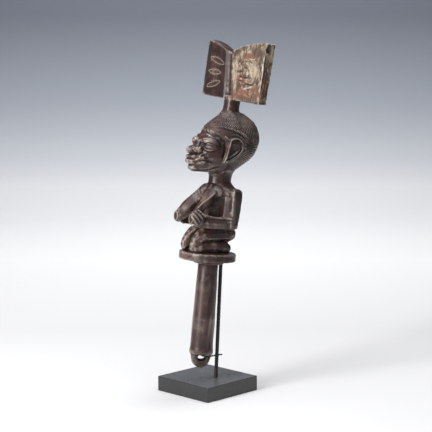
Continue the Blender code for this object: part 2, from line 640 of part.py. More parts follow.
def build_rod(parts, cutters):
    rod = rod_cylinder("support_rod", ROD_RADIUS, -SOCKET_DEPTH, ROD_TOP, parts)
    rod.data.shade_smooth()
    rod.data.set_sharp_from_angle(angle=SMOOTH_ANGLE)
    tools = [("cross_pin", wire_mesh("cross_pin", PIN_PATH, PIN_RADIUS))]
    for i, (centre, radii) in enumerate(BRAZE_BEADS):
        bead = Clay()
        bead.ball(centre, radii, fine=1)
        mesh = bpy.data.meshes.new("braze")
        bead.bm.to_mesh(mesh)
        bead.bm.free()
        tools.append((f"braze_{i}", mesh))
    for name, mesh in tools:
        tool = new_object(name, mesh, cutters)
        tool.matrix_world = rod_matrix()
        tool.hide_render = True
        tool.display_type = 'WIRE'
        combine(rod, tool, 'UNION')
    rod.data.materials.append(material("dark_steel", (0.12, 0.12, 0.12), 0.45, 1.0))


def wire_mesh(name, path, radius):
    """A bent wire with flat ends, as a closed mesh."""
    curve = bpy.data.curves.new(name, 'CURVE')
    curve.dimensions = '3D'
    curve.bevel_depth = radius * MM
    curve.bevel_resolution = PIN_FINENESS
    curve.use_fill_caps = True
    curve.resolution_u = PIN_STEPS
    spline = curve.splines.new('BEZIER')
    spline.bezier_points.add(len(path) - 1)
    for knot, place in zip(spline.bezier_points, path):
        knot.co = point(*place)
        knot.handle_left_type = 'AUTO'
        knot.handle_right_type = 'AUTO'
    obj = bpy.data.objects.new(name, curve)
    bpy.context.scene.collection.objects.link(obj)
    mesh = finished_mesh(obj)
    bm = bmesh.new()
    bm.from_mesh(mesh)
    bmesh.ops.remove_doubles(bm, verts=bm.verts, dist=WELD)
    bmesh.ops.recalc_face_normals(bm, faces=bm.faces)
    bm.to_mesh(mesh)
    bm.free()
    return mesh


def main():
    for old in list(bpy.data.objects):
        bpy.data.objects.remove(old)
    parts = bpy.data.collections.new("dance_staff")
    cutters = bpy.data.collections.new("cutters")
    for collection in (parts, cutters):
        bpy.context.scene.collection.children.link(collection)
    build_block(parts, cutters)
    build_rod(parts, cutters)
    build_staff(parts, cutters)


main()
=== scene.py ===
"""A carved dance staff for Shango on its display stand: the fine carving, its wear and the materials.

The carving is shaped in the staff's own frame, in millimetres: the origin is where the handle meets the
platform, +Z runs up the handle, -Y is the way the kneeling woman faces and +X is her left.
"""
import itertools
import math

import bmesh
import bpy
import numpy as np
from mathutils import Euler, Matrix, Vector


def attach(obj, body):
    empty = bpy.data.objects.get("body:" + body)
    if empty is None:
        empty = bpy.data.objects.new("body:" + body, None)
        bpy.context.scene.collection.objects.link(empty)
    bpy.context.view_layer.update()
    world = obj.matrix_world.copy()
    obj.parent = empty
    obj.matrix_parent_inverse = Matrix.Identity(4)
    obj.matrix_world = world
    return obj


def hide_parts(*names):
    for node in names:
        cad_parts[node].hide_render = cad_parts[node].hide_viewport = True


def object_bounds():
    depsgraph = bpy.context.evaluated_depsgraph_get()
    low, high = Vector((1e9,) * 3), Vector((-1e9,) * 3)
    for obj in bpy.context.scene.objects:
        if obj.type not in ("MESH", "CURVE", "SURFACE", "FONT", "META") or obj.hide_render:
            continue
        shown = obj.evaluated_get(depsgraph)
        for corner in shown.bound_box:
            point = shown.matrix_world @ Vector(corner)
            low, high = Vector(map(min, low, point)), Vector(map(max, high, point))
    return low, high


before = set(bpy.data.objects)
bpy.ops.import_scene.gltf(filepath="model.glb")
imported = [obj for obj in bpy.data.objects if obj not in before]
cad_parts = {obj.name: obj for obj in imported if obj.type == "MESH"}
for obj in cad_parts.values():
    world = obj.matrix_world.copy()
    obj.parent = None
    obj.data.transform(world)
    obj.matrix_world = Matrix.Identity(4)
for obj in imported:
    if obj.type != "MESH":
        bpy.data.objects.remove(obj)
CAD_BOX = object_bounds()

MM = 0.001
STAFF_ORIGIN = (10.9, -9.5, 168.5)
STAFF_YAW = math.radians(-12.6)
STAFF_LEAN = math.radians(-6.05)

RING_POINTS = 36
SOFT_VOXEL = 1.1
CRISP_VOXEL = 0.62
SOFTENING = 0.5
PIECE_FACES = 190000
# How far below its surroundings a point counts as fully hollow, near by and over a wider stretch
HOLLOW_FULL = 0.25
DEEP_FULL = 1.2


def mesh_from_rings(name, rings):
    """A closed skin over equal rings of points, with a flat cap at both ends."""
    bm = bmesh.new()
    rows = [[bm.verts.new(p) for p in ring] for ring in rings]
    count = len(rows[0])
    for low, high in zip(rows, rows[1:]):
        for i in range(count):
            j = (i + 1) % count
            bm.faces.new((low[i], low[j], high[j], high[i]))
    bm.faces.new(list(reversed(rows[0])))
    bm.faces.new(rows[-1])
    bmesh.ops.recalc_face_normals(bm, faces=bm.faces)
    mesh = bpy.data.meshes.new(name)
    bm.to_mesh(mesh)
    bm.free()
    return mesh


def oval(angle, half_x, half_y, square=2.0):
    """A point of a superellipse; square = 2 is an ellipse, more is boxier."""
    c, s = math.cos(angle), math.sin(angle)
    return (half_x * math.copysign(abs(c) ** (2.0 / square), c),
            half_y * math.copysign(abs(s) ** (2.0 / square), s))


def stacked(sections, square=2.0, narrow_front=0.0):
    """Rings across Z: (height, centre y, half depth, half width); the front may be narrower."""
    rings = []
    for height, centre, depth, width in sections:
        ring = []
        for i in range(RING_POINTS):
            x, y = oval(2 * math.pi * i / RING_POINTS, width, depth, square)
            x *= 1.0 + narrow_front * y / depth
            ring.append(Vector((x, centre + y, height)))
        rings.append(ring)
    return rings


def limb(stations, side=1.0, square=2.2):
    """Rings square to a bent path: (x, y, z, half width, half thickness)."""
    centres = [Vector((x * side, y, z)) for x, y, z, _, _ in stations]
    rings = []
    for k, (_, _, _, width, thick) in enumerate(stations):
        ahead = centres[min(k + 1, len(centres) - 1)] - centres[max(k - 1, 0)]
        ahead.normalize()
        across = Vector((1, 0, 0)) - ahead * ahead.x
        across.normalize()
        normal = ahead.cross(across)
        ring = []
        for i in range(RING_POINTS):
            u, v = oval(2 * math.pi * i / RING_POINTS, width, thick, square)
            ring.append(centres[k] + across * u + normal * v)
        rings.append(ring)
    return rings


def smooth_path(path, steps):
    """A Catmull-Rom curve through the given places."""
    knots = [Vector(place) for place in path]
    ends = [knots[0] * 2 - knots[1]] + knots + [knots[-1] * 2 - knots[-2]]
    places = []
    for a, b, c, d in zip(ends, ends[1:], ends[2:], ends[3:]):
        for i in range(steps):
            t = i / steps
            places.append((b * 2 + (c - a) * t + (a * 2 - b * 5 + c * 4 - d) * t ** 2
                           + (b * 3 - a - c * 3 + d) * t ** 3) / 2)
    places.append(knots[-1])
    return places


def tube(path, radii, across, sides=12):
    """Rings of a tube along a path; across is a direction that stays off the path's own."""
    across = Vector(across)
    rings = []
    for k, (centre, radius) in enumerate(zip(path, radii)):
        ahead = path[min(k + 1, len(path) - 1)] - path[max(k - 1, 0)]
        ahead.normalize()
        normal = ahead.cross(across).normalized()
        flat = normal.cross(ahead)
        rings.append([centre + (flat * math.cos(a) + normal * math.sin(a)) * radius
                      for a in (2 * math.pi * i / sides for i in range(sides))])
    return rings


class Clay:
    """Overlapping closed forms in one mesh, to be fused into one skin."""

    def __init__(self):
        self.bm = bmesh.new()

    def add_mesh(self, mesh):
        self.bm.from_mesh(mesh)
        bpy.data.meshes.remove(mesh)

    def rings(self, rings):
        self.add_mesh(mesh_from_rings("form", rings))

    def ball(self, centre, radii, turn=(0, 0, 0), fine=4):
        """An ellipsoid; turn is in degrees about X, Y and Z."""
        spin = Euler([math.radians(a) for a in turn]).to_matrix().to_4x4()
        place = Matrix.Translation(centre) @ spin @ Matrix.Diagonal((*radii, 1))
        bmesh.ops.create_icosphere(self.bm, subdivisions=fine, radius=1.0, matrix=place)

    def both_balls(self, centre, radii, turn=(0, 0, 0), fine=4):
        x, y, z = centre
        a, b, c = turn
        self.ball((x, y, z), radii, (a, b, c), fine)
        self.ball((-x, y, z), radii, (a, -b, -c), fine)

    def both_limbs(self, stations, square=2.2):
        for side in (1.0, -1.0):
            self.rings(limb(stations, side, square))

    def cord(self, path, radius, across=(1, 0, 0), steps=5, ends=0.45):
        """A ridge like a cord, thinner at its ends."""
        places = smooth_path(path, steps)
        count = len(places) - 1
        radii = [radius * (ends + (1 - ends) * min(1.0, 4 * min(k, count - k) / count))
                 for k in range(count + 1)]
        self.rings(tube(places, radii, across))

    def both_cords(self, path, radius, across=(1, 0, 0), steps=5, ends=0.45):
        for side in (1.0, -1.0):
            self.cord([(x * side, y, z) for x, y, z in path], radius, across, steps, ends)

    def fused(self, name, voxel, smooth):
        """One skin round everything, softened by a few rounds of smoothing."""
        mesh = bpy.data.meshes.new(name)
        self.bm.to_mesh(mesh)
        self.bm.free()
        obj = bpy.data.objects.new(name, mesh)
        bpy.context.scene.collection.objects.link(obj)
        skin = obj.modifiers.new("skin", 'REMESH')
        skin.mode = 'VOXEL'
        skin.voxel_size = voxel
        if smooth:
            soften = obj.modifiers.new("soften", 'SMOOTH')
            soften.factor = SOFTENING
            soften.iterations = smooth
        return finished_mesh(obj)


def finished_mesh(obj):
    """The object's evaluated mesh, in the object's own frame; the object is removed."""
    bpy.context.view_layer.update()
    graph = bpy.context.evaluated_depsgraph_get()
    mesh = bpy.data.meshes.new_from_object(obj.evaluated_get(graph))
    bpy.data.objects.remove(obj)
    return mesh


def turned(name, profile, steps):
    """A solid of revolution about Z from (radius, height) points, outer side downwards."""
    rings = [[Vector((r * math.cos(a), r * math.sin(a), z))
              for a in (2 * math.pi * i / steps for i in range(steps))] for r, z in profile]
    return mesh_from_rings(name, rings)


# Kneeling figure: (height, centre y, half depth, half width) for what is stacked up Z
TORSO = [(34.0, 8.0, 16.0, 18.0), (46.0, 5.0, 17.0, 15.5), (58.0, 4.5, 17.0, 14.0),
         (70.0, 5.0, 18.0, 14.5), (82.0, 8.5, 16.5, 19.0), (90.0, 11.5, 14.5, 25.0),
         (94.5, 10.5, 14.5, 24.0), (98.0, 8.8, 14.6, 18.5), (101.5, 7.0, 14.6, 14.0)]
NECK = [(92.0, 6.5, 14.0, 13.0), (101.0, 6.0, 14.6, 13.2), (107.0, 6.3, 14.8, 13.3),
        (113.0, 6.8, 15.0, 13.6), (117.0, 5.0, 19.0, 16.5), (124.0, 9.0, 19.0, 17.0)]
# Shin of her left side: (x, y, z, half width, half thickness)
SHIN = [(12.2, -32.0, 18.5, 3.6, 4.6), (12.4, -26.0, 20.5, 6.4, 7.4), (12.4, -6.0, 22.0, 8.4, 9.0),
        (12.0, 11.0, 21.5, 8.0, 8.5), (11.8, 17.5, 20.0, 6.4, 6.6)]
# Faceted limbs of her left side: the section's corners in X and Z at each Y
BREAST = [(-1.0, [(1.5, 88.0), (8.0, 97.0), (16.0, 90.0), (15.5, 84.0), (13.0, 79.0), (3.0, 79.0)]),
          (-11.0, [(1.5, 88.0), (8.0, 100.5), (19.5, 90.0), (17.5, 84.0), (13.5, 77.0), (3.0, 74.0)]),
          (-20.0, [(3.0, 80.0), (10.5, 90.5), (20.5, 83.5), (18.5, 77.0), (14.0, 68.5), (5.0, 66.0)]),
          (-30.0, [(6.5, 70.0), (14.0, 78.0), (20.0, 76.5), (20.0, 70.0), (17.0, 58.0), (8.5, 56.0)]),
          (-38.0, [(10.0, 60.0), (15.0, 68.5), (19.5, 68.0), (23.0, 62.0), (21.5, 51.5), (12.0, 50.0)]),
          (-42.0, [(11.5, 57.0), (15.5, 64.5), (19.5, 63.5), (24.0, 58.5), (22.5, 50.0), (13.0, 48.0)])]
THIGH = [
    (24.0, [(4.0, 45.0), (12.0, 46.0), (19.0, 44.0), (21.5, 39.0), (19.0, 33.0), (12.0, 31.0), (4.0, 33.0)]),
    (8.0, [(3.0, 47.0), (12.0, 48.5), (20.0, 46.0), (22.5, 40.0), (21.5, 33.5), (12.0, 31.0), (3.0, 32.0)]),
    (-10.0, [(3.0, 46.0), (12.0, 47.5), (18.5, 45.5), (22.0, 38.5), (21.5, 32.5), (13.0, 29.5), (3.5, 30.0)]),
    (-22.0, [(3.5, 42.0), (10.0, 44.5), (14.5, 44.5), (20.0, 37.0), (20.5, 31.0), (14.0, 26.0), (4.0, 27.0)]),
    (-28.5, [(4.5, 36.0), (9.0, 38.5), (13.0, 38.5), (17.0, 33.0), (18.0, 27.0), (14.0, 19.0), (5.0, 20.0)]),
    (-33.0, [(6.0, 29.0), (9.0, 32.0), (12.5, 32.0), (15.0, 28.0), (15.5, 22.0), (13.0, 15.0), (6.5, 16.0)]),
    (-35.5, [(8.0, 24.0), (10.0, 26.0), (11.8, 26.0), (13.0, 23.5), (13.0, 20.0), (11.5, 17.5), (8.5, 18.0)]),
]
FOREARM = [(22.0, [(18.0, 58.0), (23.5, 58.5), (24.5, 55.0), (27.5, 51.0), (25.5, 45.8), (18.0, 46.0)]),
           (5.0, [(17.0, 58.5), (24.0, 59.3), (25.0, 55.5), (28.5, 51.5), (26.5, 45.6), (18.0, 45.5)]),
           (-12.0, [(17.0, 59.0), (24.0, 60.0), (25.0, 56.0), (28.0, 51.5), (26.0, 45.3), (18.0, 46.0)]),
           (-24.0, [(16.5, 61.0), (23.5, 62.2), (24.5, 58.0), (27.0, 52.5), (25.0, 46.0), (17.0, 46.5)]),
           (-33.0, [(16.0, 62.0), (21.5, 63.5), (23.5, 60.0), (25.0, 54.0), (23.5, 48.0), (17.0, 48.0)])]
# Wood left standing between the thighs: (height, front, back, half width)
LAP = [(13.0, -27.0, 6.0, 7.0), (30.0, -24.0, 6.0, 7.0), (37.0, -16.0, 6.0, 6.0)]
# Upper arm of her left side, outlined in X and Y at each height
UPPER_ARM = [(96.0, [(15.0, 6.0), (20.0, 7.0), (26.0, 12.0), (23.0, 22.5), (13.0, 23.0)]),
             (93.0, [(14.0, 3.5), (22.0, 3.5), (30.0, 10.0), (25.0, 26.0), (12.0, 26.0)]),
             (84.0, [(15.0, 3.0), (21.5, 2.0), (31.0, 9.5), (25.0, 26.4), (13.0, 26.0)]),
             (70.0, [(16.0, 2.5), (21.5, 1.5), (30.8, 9.5), (24.6, 25.6), (14.0, 25.0)]),
             (58.0, [(16.0, 2.0), (21.5, 1.0), (30.4, 9.5), (24.4, 24.6), (15.0, 24.0)]),
             (49.0, [(17.0, 3.0), (22.0, 2.0), (30.0, 9.0), (24.2, 23.4), (17.0, 22.5)]),
             (45.0, [(19.0, 6.0), (22.0, 5.0), (27.0, 10.0), (23.0, 20.0), (19.0, 19.0)])]
# Fingers of her left hand, laid over the breast, of her right hand, which holds the other from below,
# and the thumbs
FINGERS = [[(26.0, -35.4, 53.8), (25.8, -41.0, 60.4), (22.5, -44.6, 65.0)],
           [(26.5, -31.6, 57.7), (25.5, -37.6, 63.0), (22.0, -41.0, 66.8)],
           [(26.0, -26.4, 60.3), (25.0, -32.1, 63.7), (21.5, -36.1, 68.2)],
           [(26.0, -37.6, 50.4), (25.5, -42.8, 56.2), (22.5, -45.6, 60.2)]]
RIGHT_FINGERS = [[(-26.0, -22.0, 50.5), (-25.0, -28.0, 53.0), (-23.5, -33.0, 56.0)],
                 [(-26.0, -21.0, 54.0), (-25.0, -27.0, 57.0), (-23.0, -32.0, 60.0)],
                 [(-25.5, -20.0, 57.5), (-24.5, -26.0, 61.0), (-22.0, -31.0, 64.0)],
                 [(-24.5, -22.0, 47.5), (-23.5, -28.0, 49.0), (-21.5, -33.0, 51.0)]]
FINGER_RADIUS = 1.75
PALMS = [((21.5, -34.0, 55.5), (5.2, 9.0, 8.4)), ((-21.5, -25.0, 54.0), (5.0, 8.0, 7.4))]
THUMB = [(20.0, -24.0, 49.0), (18.0, -30.0, 48.2), (14.0, -35.0, 48.6)]
NIPPLE = ((17.8, -42.6, 56.3), 4.0, 1.1)
# Head: (height, centre y, half depth, half width)
CRANIUM = [(120.0, 10.0, 17.0, 14.0), (126.0, 13.0, 22.5, 18.0), (132.0, 15.0, 28.5, 22.0),
           (139.0, 16.0, 34.0, 25.0), (148.0, 16.0, 38.5, 27.0), (158.0, 15.8, 40.5, 27.6),
           (167.0, 16.0, 38.8, 26.8), (175.0, 17.2, 33.5, 24.3), (181.5, 18.6, 26.7, 20.2),
           (187.0, 17.8, 19.0, 15.5), (191.0, 15.0, 13.6, 12.2)]
FACE = [(114.5, -11.0, 22.0, 13.0), (118.0, -12.5, 25.5, 16.0), (124.0, -12.0, 25.5, 18.0),
        (132.0, -9.0, 25.5, 20.5), (142.0, -6.0, 24.0, 22.5), (152.0, -5.0, 23.0, 23.5),
        (160.0, -3.0, 22.5, 22.0), (168.0, 0.0, 20.5, 19.0)]
STEM = [(188.0, 13.4, 12.0, 11.6), (194.0, 13.4, 9.6, 9.4), (200.0, 14.0, 9.4, 9.4), (212.0, 15.0, 9.8, 9.8)]
EAR_OUTLINE = [(-1.0, 156.0), (4.0, 158.2), (11.0, 157.8), (16.6, 154.0), (18.4, 148.0), (15.5, 141.5),
               (8.5, 135.5), (0.5, 131.0), (-5.8, 129.4)]
# Nose: (height, half width, front) and its plan: share of the half width and depth behind the front
NOSE = [(159.0, 2.6, -24.0), (153.0, 4.2, -31.5), (148.5, 6.0, -34.5), (145.6, 8.2, -41.0),
        (143.2, 9.6, -45.2), (140.6, 10.2, -46.8), (138.0, 9.6, -46.0), (136.2, 7.0, -43.0)]
NOSE_PLAN = [(-1.3, 22.0), (-1.0, 11.0), (-0.85, 6.0), (-0.45, 1.2), (0.0, 0.0), (0.45, 1.2), (0.85, 6.0),
             (1.0, 11.0), (1.3, 22.0)]
UPPER_LIP = [(135.0, -36.6, 5.0, 7.6), (134.2, -38.0, 6.3, 9.4), (131.6, -38.2, 6.6, 9.8),
             (130.6, -37.2, 5.6, 9.0)]
LOWER_LIP = [(129.2, -37.4, 5.6, 8.8), (128.4, -38.1, 6.6, 9.6), (124.4, -37.8, 6.4, 9.3),
             (123.4, -36.6, 5.2, 8.0)]


def facets(rows, side):
    """Rings across Y from a limb's table, for her left (1) or right (-1) side."""
    return [[Vector((x * side, y, z)) for x, z in corners] for y, corners in rows]


def soft_forms(clay):
    clay.rings(stacked(TORSO, square=2.3))
    clay.rings(stacked(NECK))
    clay.both_limbs(SHIN)
    for side in (1.0, -1.0):
        for rows in (BREAST, THIGH, FOREARM):
            clay.rings(facets(rows, side))
        clay.rings([[Vector((x * side, y, height)) for x, y in outline] for height, outline in UPPER_ARM])
    clay.rings([[Vector((half * a, front if b < 0 else back, height))
                 for a, b in ((-1, -1), (1, -1), (1, 1), (-1, 1))] for height, front, back, half in LAP])
    clay.ball((0, -3.0, 90.0), (21.0, 15.5, 11.0))
    clay.both_balls((11.0, 17.0, 39.0), (12.0, 10.0, 10.5))
    clay.both_balls((12.0, 16.8, 20.5), (6.2, 6.2, 6.4))
    clay.both_balls((15.0, 12.0, 92.0), (14.0, 13.0, 5.5), (0, 20, 0))
    clay.rings(stacked(CRANIUM, square=2.15))
    clay.rings(stacked(FACE, square=2.5, narrow_front=0.12))
    clay.rings(stacked(STEM, square=2.6))
    # Brow, bulging upper lid, muzzle, chin and the nose with its wings
    clay.both_balls((13.0, -17.2, 157.4), (11.0, 6.2, 5.0), (0, 24, 38))
    clay.both_balls((15.0, -21.4, 152.0), (11.4, 8.4, 5.4), (0, 16, 38))
    clay.ball((0, -28.5, 128.5), (16.5, 13.5, 10.5))
    clay.ball((0, -33.0, 119.0), (9.5, 8.4, 5.2))
    clay.rings([[Vector((half * share, front + behind, height)) for share, behind in NOSE_PLAN]
                for height, half, front in NOSE])
    clay.both_balls((7.6, -33.2, 142.0), (3.9, 5.8, 4.2), (0, 0, 20))


def hands(clay):
    for centre, radii in PALMS:
        clay.ball(centre, radii)
    for path in FINGERS + RIGHT_FINGERS:
        clay.cord(path, FINGER_RADIUS, steps=4, ends=0.8)
    clay.both_cords(THUMB, FINGER_RADIUS, steps=4, ends=0.8)
    (x, y, z), ring, thick = NIPPLE
    circle = [(x + ring * math.cos(a), y, z + 1.3 * ring * math.sin(a))
              for a in (2 * math.pi * i / 12 for i in range(13))]
    clay.both_cords(circle, thick, across=(0, 1, 0), steps=2, ends=1.0)


def face(clay):
    # Eyeball and thin lower lid
    clay.both_balls((15.0, -19.8, 146.8), (9.3, 7.4, 4.9), (0, 8, 38))
    clay.both_cords([(10.6, -29.0, 145.8), (15.0, -27.4, 142.4), (19.5, -22.6, 142.0), (22.6, -17.6, 144.2),
                     (24.0, -14.6, 147.2)], 0.9, across=(0.3, -0.3, 1))
    clay.rings(stacked(UPPER_LIP, square=2.5))
    clay.rings(stacked(LOWER_LIP, square=2.5))


def ears(clay):
    for side in (1.0, -1.0):
        clay.rings([[Vector((x * side, y, z)) for y, z in EAR_OUTLINE] for x in (22.0, 25.4)])
    rim = [(27.8, y, z) for y, z in EAR_OUTLINE]
    clay.both_cords([(25.8, y, z) for _, y, z in rim], 1.7, steps=4, ends=0.9)
    clay.both_cords(rim, 1.35, steps=4, ends=0.9)
    clay.both_cords([(26.4, -0.4, 157.4), (26.6, -2.6, 147.0), (26.0, -5.2, 136.0), (24.6, -7.6, 127.6)], 1.8)
    clay.both_cords([(28.4, -0.4, 157.4), (28.6, -2.6, 147.0), (28.2, -5.2, 136.0), (27.0, -7.6, 127.6)], 1.3)
    clay.both_cords([(26.2, 4.5, 151.5), (26.2, 11.5, 151.0), (26.2, 13.6, 146.5), (26.0, 9.0, 140.5),
                     (25.8, 1.0, 135.0)], 1.2)


# Handle, collar and platform, turned about the staff's axis: (radius, height)
PLATFORM = [(34.2, 14.0), (35.2, 13.7), (35.8, 12.8), (35.8, 5.3), (35.3, 4.4), (34.2, 4.0), (21.0, 3.4)]
PLATFORM_FORWARD = 2.2
PLATFORM_RISE = math.radians(0.9)
HANDLE = [(19.2, 6.0), (19.2, 0.4), (18.2, -0.6), (12.5, -0.6), (12.7, -9.0), (13.4, -31.0), (13.7, -55.0),
          (14.3, -71.0), (14.4, -83.0), (14.2, -98.0), (14.4, -107.0), (15.1, -112.0), (15.0, -114.6),
          (14.0, -116.2), (11.0, -116.8)]
HANDLE_TILT = math.radians(0.5)
LUG_CENTRE_Y = 1.1
LUG = [(-113.0, 13.6, 10.5), (-118.0, 13.9, 9.0), (-122.0, 13.2, 8.1), (-125.5, 12.1, 7.6),
       (-128.5, 10.4, 7.0), (-131.5, 7.2, 5.6), (-133.4, 3.6, 3.2), (-134.1, 1.2, 1.2)]
LUG_HOLE_SIZE = (10.8, 6.6)
LUG_HOLE_FLARE = [(-14.0, 1.8), (-7.5, 1.35), (-4.5, 1.0), (4.5, 1.0), (7.5, 1.35), (14.0, 1.8)]
LUG_HOLE_CENTRE = (0.0, 1.9, -120.0)
LUG_HOLE_TURN = math.radians(-20.0)


def platform_and_handle(clay):
    platform = turned("platform", PLATFORM, 128)
    platform.transform(Matrix.Translation((0, -PLATFORM_FORWARD, 0)) @ Matrix.Rotation(PLATFORM_RISE, 4, 'X'))
    clay.add_mesh(platform)
    handle = turned("handle", HANDLE, 96)
    handle.transform(Matrix.Rotation(HANDLE_TILT, 4, 'X'))
    clay.add_mesh(handle)


def lug_mesh():
    """The pierced lug, with its bore already cut."""
    rings = [[Vector((x, LUG_CENTRE_Y + y, height))
              for x, y in (oval(2 * math.pi * i / RING_POINTS, wide, deep, 2.3) for i in range(RING_POINTS))]
             for height, deep, wide in LUG]
    lug = bpy.data.objects.new("lug", mesh_from_rings("lug", rings))
    turn = Matrix.Rotation(LUG_HOLE_TURN, 3, 'Z')
    bore = []
    for reach, grow in LUG_HOLE_FLARE:
        ring = []
        for i in range(RING_POINTS):
            angle = 2 * math.pi * i / RING_POINTS
            across, up = oval(angle, LUG_HOLE_SIZE[0] / 2 * grow, LUG_HOLE_SIZE[1] / 2 * grow)
            ring.append(Vector(LUG_HOLE_CENTRE) + turn @ Vector((reach, across, up)))
        bore.append(ring)
    cutter = bpy.data.objects.new("bore", mesh_from_rings("bore", bore))
    for obj in (lug, cutter):
        bpy.context.scene.collection.objects.link(obj)
    cut = lug.modifiers.new("cut", 'BOOLEAN')
    cut.operation = 'DIFFERENCE'
    cut.object = cutter
    mesh = finished_mesh(lug)
    bpy.data.objects.remove(cutter)
    return mesh


# Double axe on top: both blades spread along X
AXE_RIGHT = -66.0
AXE_HALF_SPAN = 63.0
AXE_VALLEY = 264.5
AXE_HORN = 15.0
AXE_TOP_FALL = 5.0
AXE_BOTTOM = 206.6
AXE_ROLL_TOP = -0.026
AXE_ROLL_BOTTOM = -0.055
AXE_FRONT = 8.0
AXE_SEAM_SLOPE = -0.055
AXE_SWEEP = 0.115
AXE_BACK = 19.6
AXE_BACK_SLOPE = 0.085
AXE_SEAM = -3.0
AXE_SEAM_HALF = 7.5
AXE_SEAM_DEPTH = 4.5
AXE_BEVEL = 0.9
AXE_EDGE_STRIP = 6.0
AXE_EDGE_TAPER = 3.0
AXE_STATIONS = [-66.0, -63.0, -59.5, -54.0, -48.0, -42.0, -37.0, -31.0, -26.0, -21.0, -17.0, -13.5, -11.0,
                -9.5, -8.0, -6.8, -5.5, -4.2, -3.0, -1.8, -0.5, 0.8, 2.0, 3.5, 5.0, 8.0, 11.0, 14.5, 18.0,
                23.0, 28.0, 34.0, 40.0, 46.0, 52.0, 56.5, 61.0, 64.0, 67.0]
# Lens-shaped rings cut in each blade: centre x and z, half length, half height, slant in degrees
OVALS = [(-33.0, 254.4, 19.0, 3.3, -12.0), (-37.5, 240.2, 15.5, 2.9, -3.0), (-38.0, 224.8, 16.0, 3.1, 12.0)]
OVAL_CUT = 0.35
OVAL_CUT_HALF = 0.6


def axe_top(x):
    """Height of the blades' upper outline: a valley at the seam and convex horns."""
    reach = min(1.0, abs(x - AXE_SEAM) / AXE_HALF_SPAN)
    return AXE_VALLEY + AXE_HORN * (1.0 - (1.0 - reach) ** 1.8) + AXE_ROLL_TOP * x


def axe_front(x, z):
    """Depth of the blades' front face, which sweeps back towards the horns."""
    slope = AXE_SEAM_SLOPE + AXE_SWEEP * np.minimum(1.0, np.abs(x) / AXE_HALF_SPAN)
    return AXE_FRONT + slope * (z - AXE_BOTTOM)


def axe(clay):
    rings = []
    for x in AXE_STATIONS:
        low = AXE_BOTTOM + AXE_ROLL_BOTTOM * x
        high = axe_top(x)
        seam = max(0.0, 1.0 - abs(x - AXE_SEAM) / AXE_SEAM_HALF)
        groove = AXE_SEAM_DEPTH * (1.0 - (1.0 - seam) ** 2)
        edge = max(0.0, AXE_RIGHT + AXE_EDGE_STRIP - x) / AXE_EDGE_STRIP
        fall = AXE_TOP_FALL * max(0.0, 1.0 - abs(x - AXE_SEAM) / AXE_HALF_SPAN) ** 2
        corners = []
        for z, lift, drop in ((low, 1.0, 0.0), (high, -1.0, fall)):
            front = axe_front(x, z) + groove + AXE_EDGE_TAPER * edge
            back = AXE_BACK + AXE_BACK_SLOPE * (z - AXE_BOTTOM) - groove
            corners.append(((front, z + lift * AXE_BEVEL), (front + AXE_BEVEL, z),
                            (back - AXE_BEVEL, z - drop), (back, z - drop + lift * AXE_BEVEL)))
        bottom, top = corners
        rings.append([Vector((x, y, z)) for y, z in list(bottom) + list(reversed(top))])
    clay.rings(rings)


def raw_carving():
    """The whole staff as one even skin, before its fine relief."""
    soft = Clay()
    soft_forms(soft)
    crisp = Clay()
    crisp.add_mesh(soft.fused("soft", SOFT_VOXEL, 3))
    hands(crisp)
    face(crisp)
    ears(crisp)
    axe(crisp)
    platform_and_handle(crisp)
    crisp.add_mesh(lug_mesh())
    return crisp.fused("staff_carving", CRISP_VOXEL, 1)


def noise(points, size, seed):
    """Smooth random numbers from -1 to 1 at each point, changing over about size millimetres."""
    spot = points / size + seed * 17.31
    cell = np.floor(spot).astype(np.int64)
    inside = spot - cell
    inside = inside * inside * (3.0 - 2.0 * inside)
    total = np.zeros(len(points))
    for corner in itertools.product((0, 1), repeat=3):
        at = cell + np.array(corner)
        mixed = (at[:, 0] * 73856093) ^ (at[:, 1] * 19349663) ^ (at[:, 2] * 83492791) ^ (seed * 2654435761)
        mixed = ((mixed ^ (mixed >> 13)) * 1274126177) & 0xFFFFFFF
        weight = np.prod(np.where(corner, inside, 1.0 - inside), axis=1)
        total += ((mixed ^ (mixed >> 9)) % 4096 / 2047.5 - 1.0) * weight
    return total


def ramp(values, low, high):
    """0 below low, 1 above high and smooth between; low may be the greater."""
    t = np.clip((values - low) / (high - low), 0.0, 1.0)
    return t * t * (3.0 - 2.0 * t)


def reach_of(path, s, w):
    """Distance from each point of a plane to a bent line, and the share of the line's length there."""
    best = np.full(len(s), 1e9)
    share = np.zeros(len(s))
    path = np.array(path, float)
    steps = np.hypot(*(path[1:] - path[:-1]).T)
    total, done = steps.sum(), 0.0
    for a, b, length in zip(path, path[1:], steps):
        way = (b - a) / length
        t = np.clip((s - a[0]) * way[0] + (w - a[1]) * way[1], 0.0, length)
        gap = np.hypot(s - a[0] - way[0] * t, w - a[1] - way[1] * t)
        near = gap < best
        best[near] = gap[near]
        share[near] = (done + t[near]) / total
        done += length
    return best, share


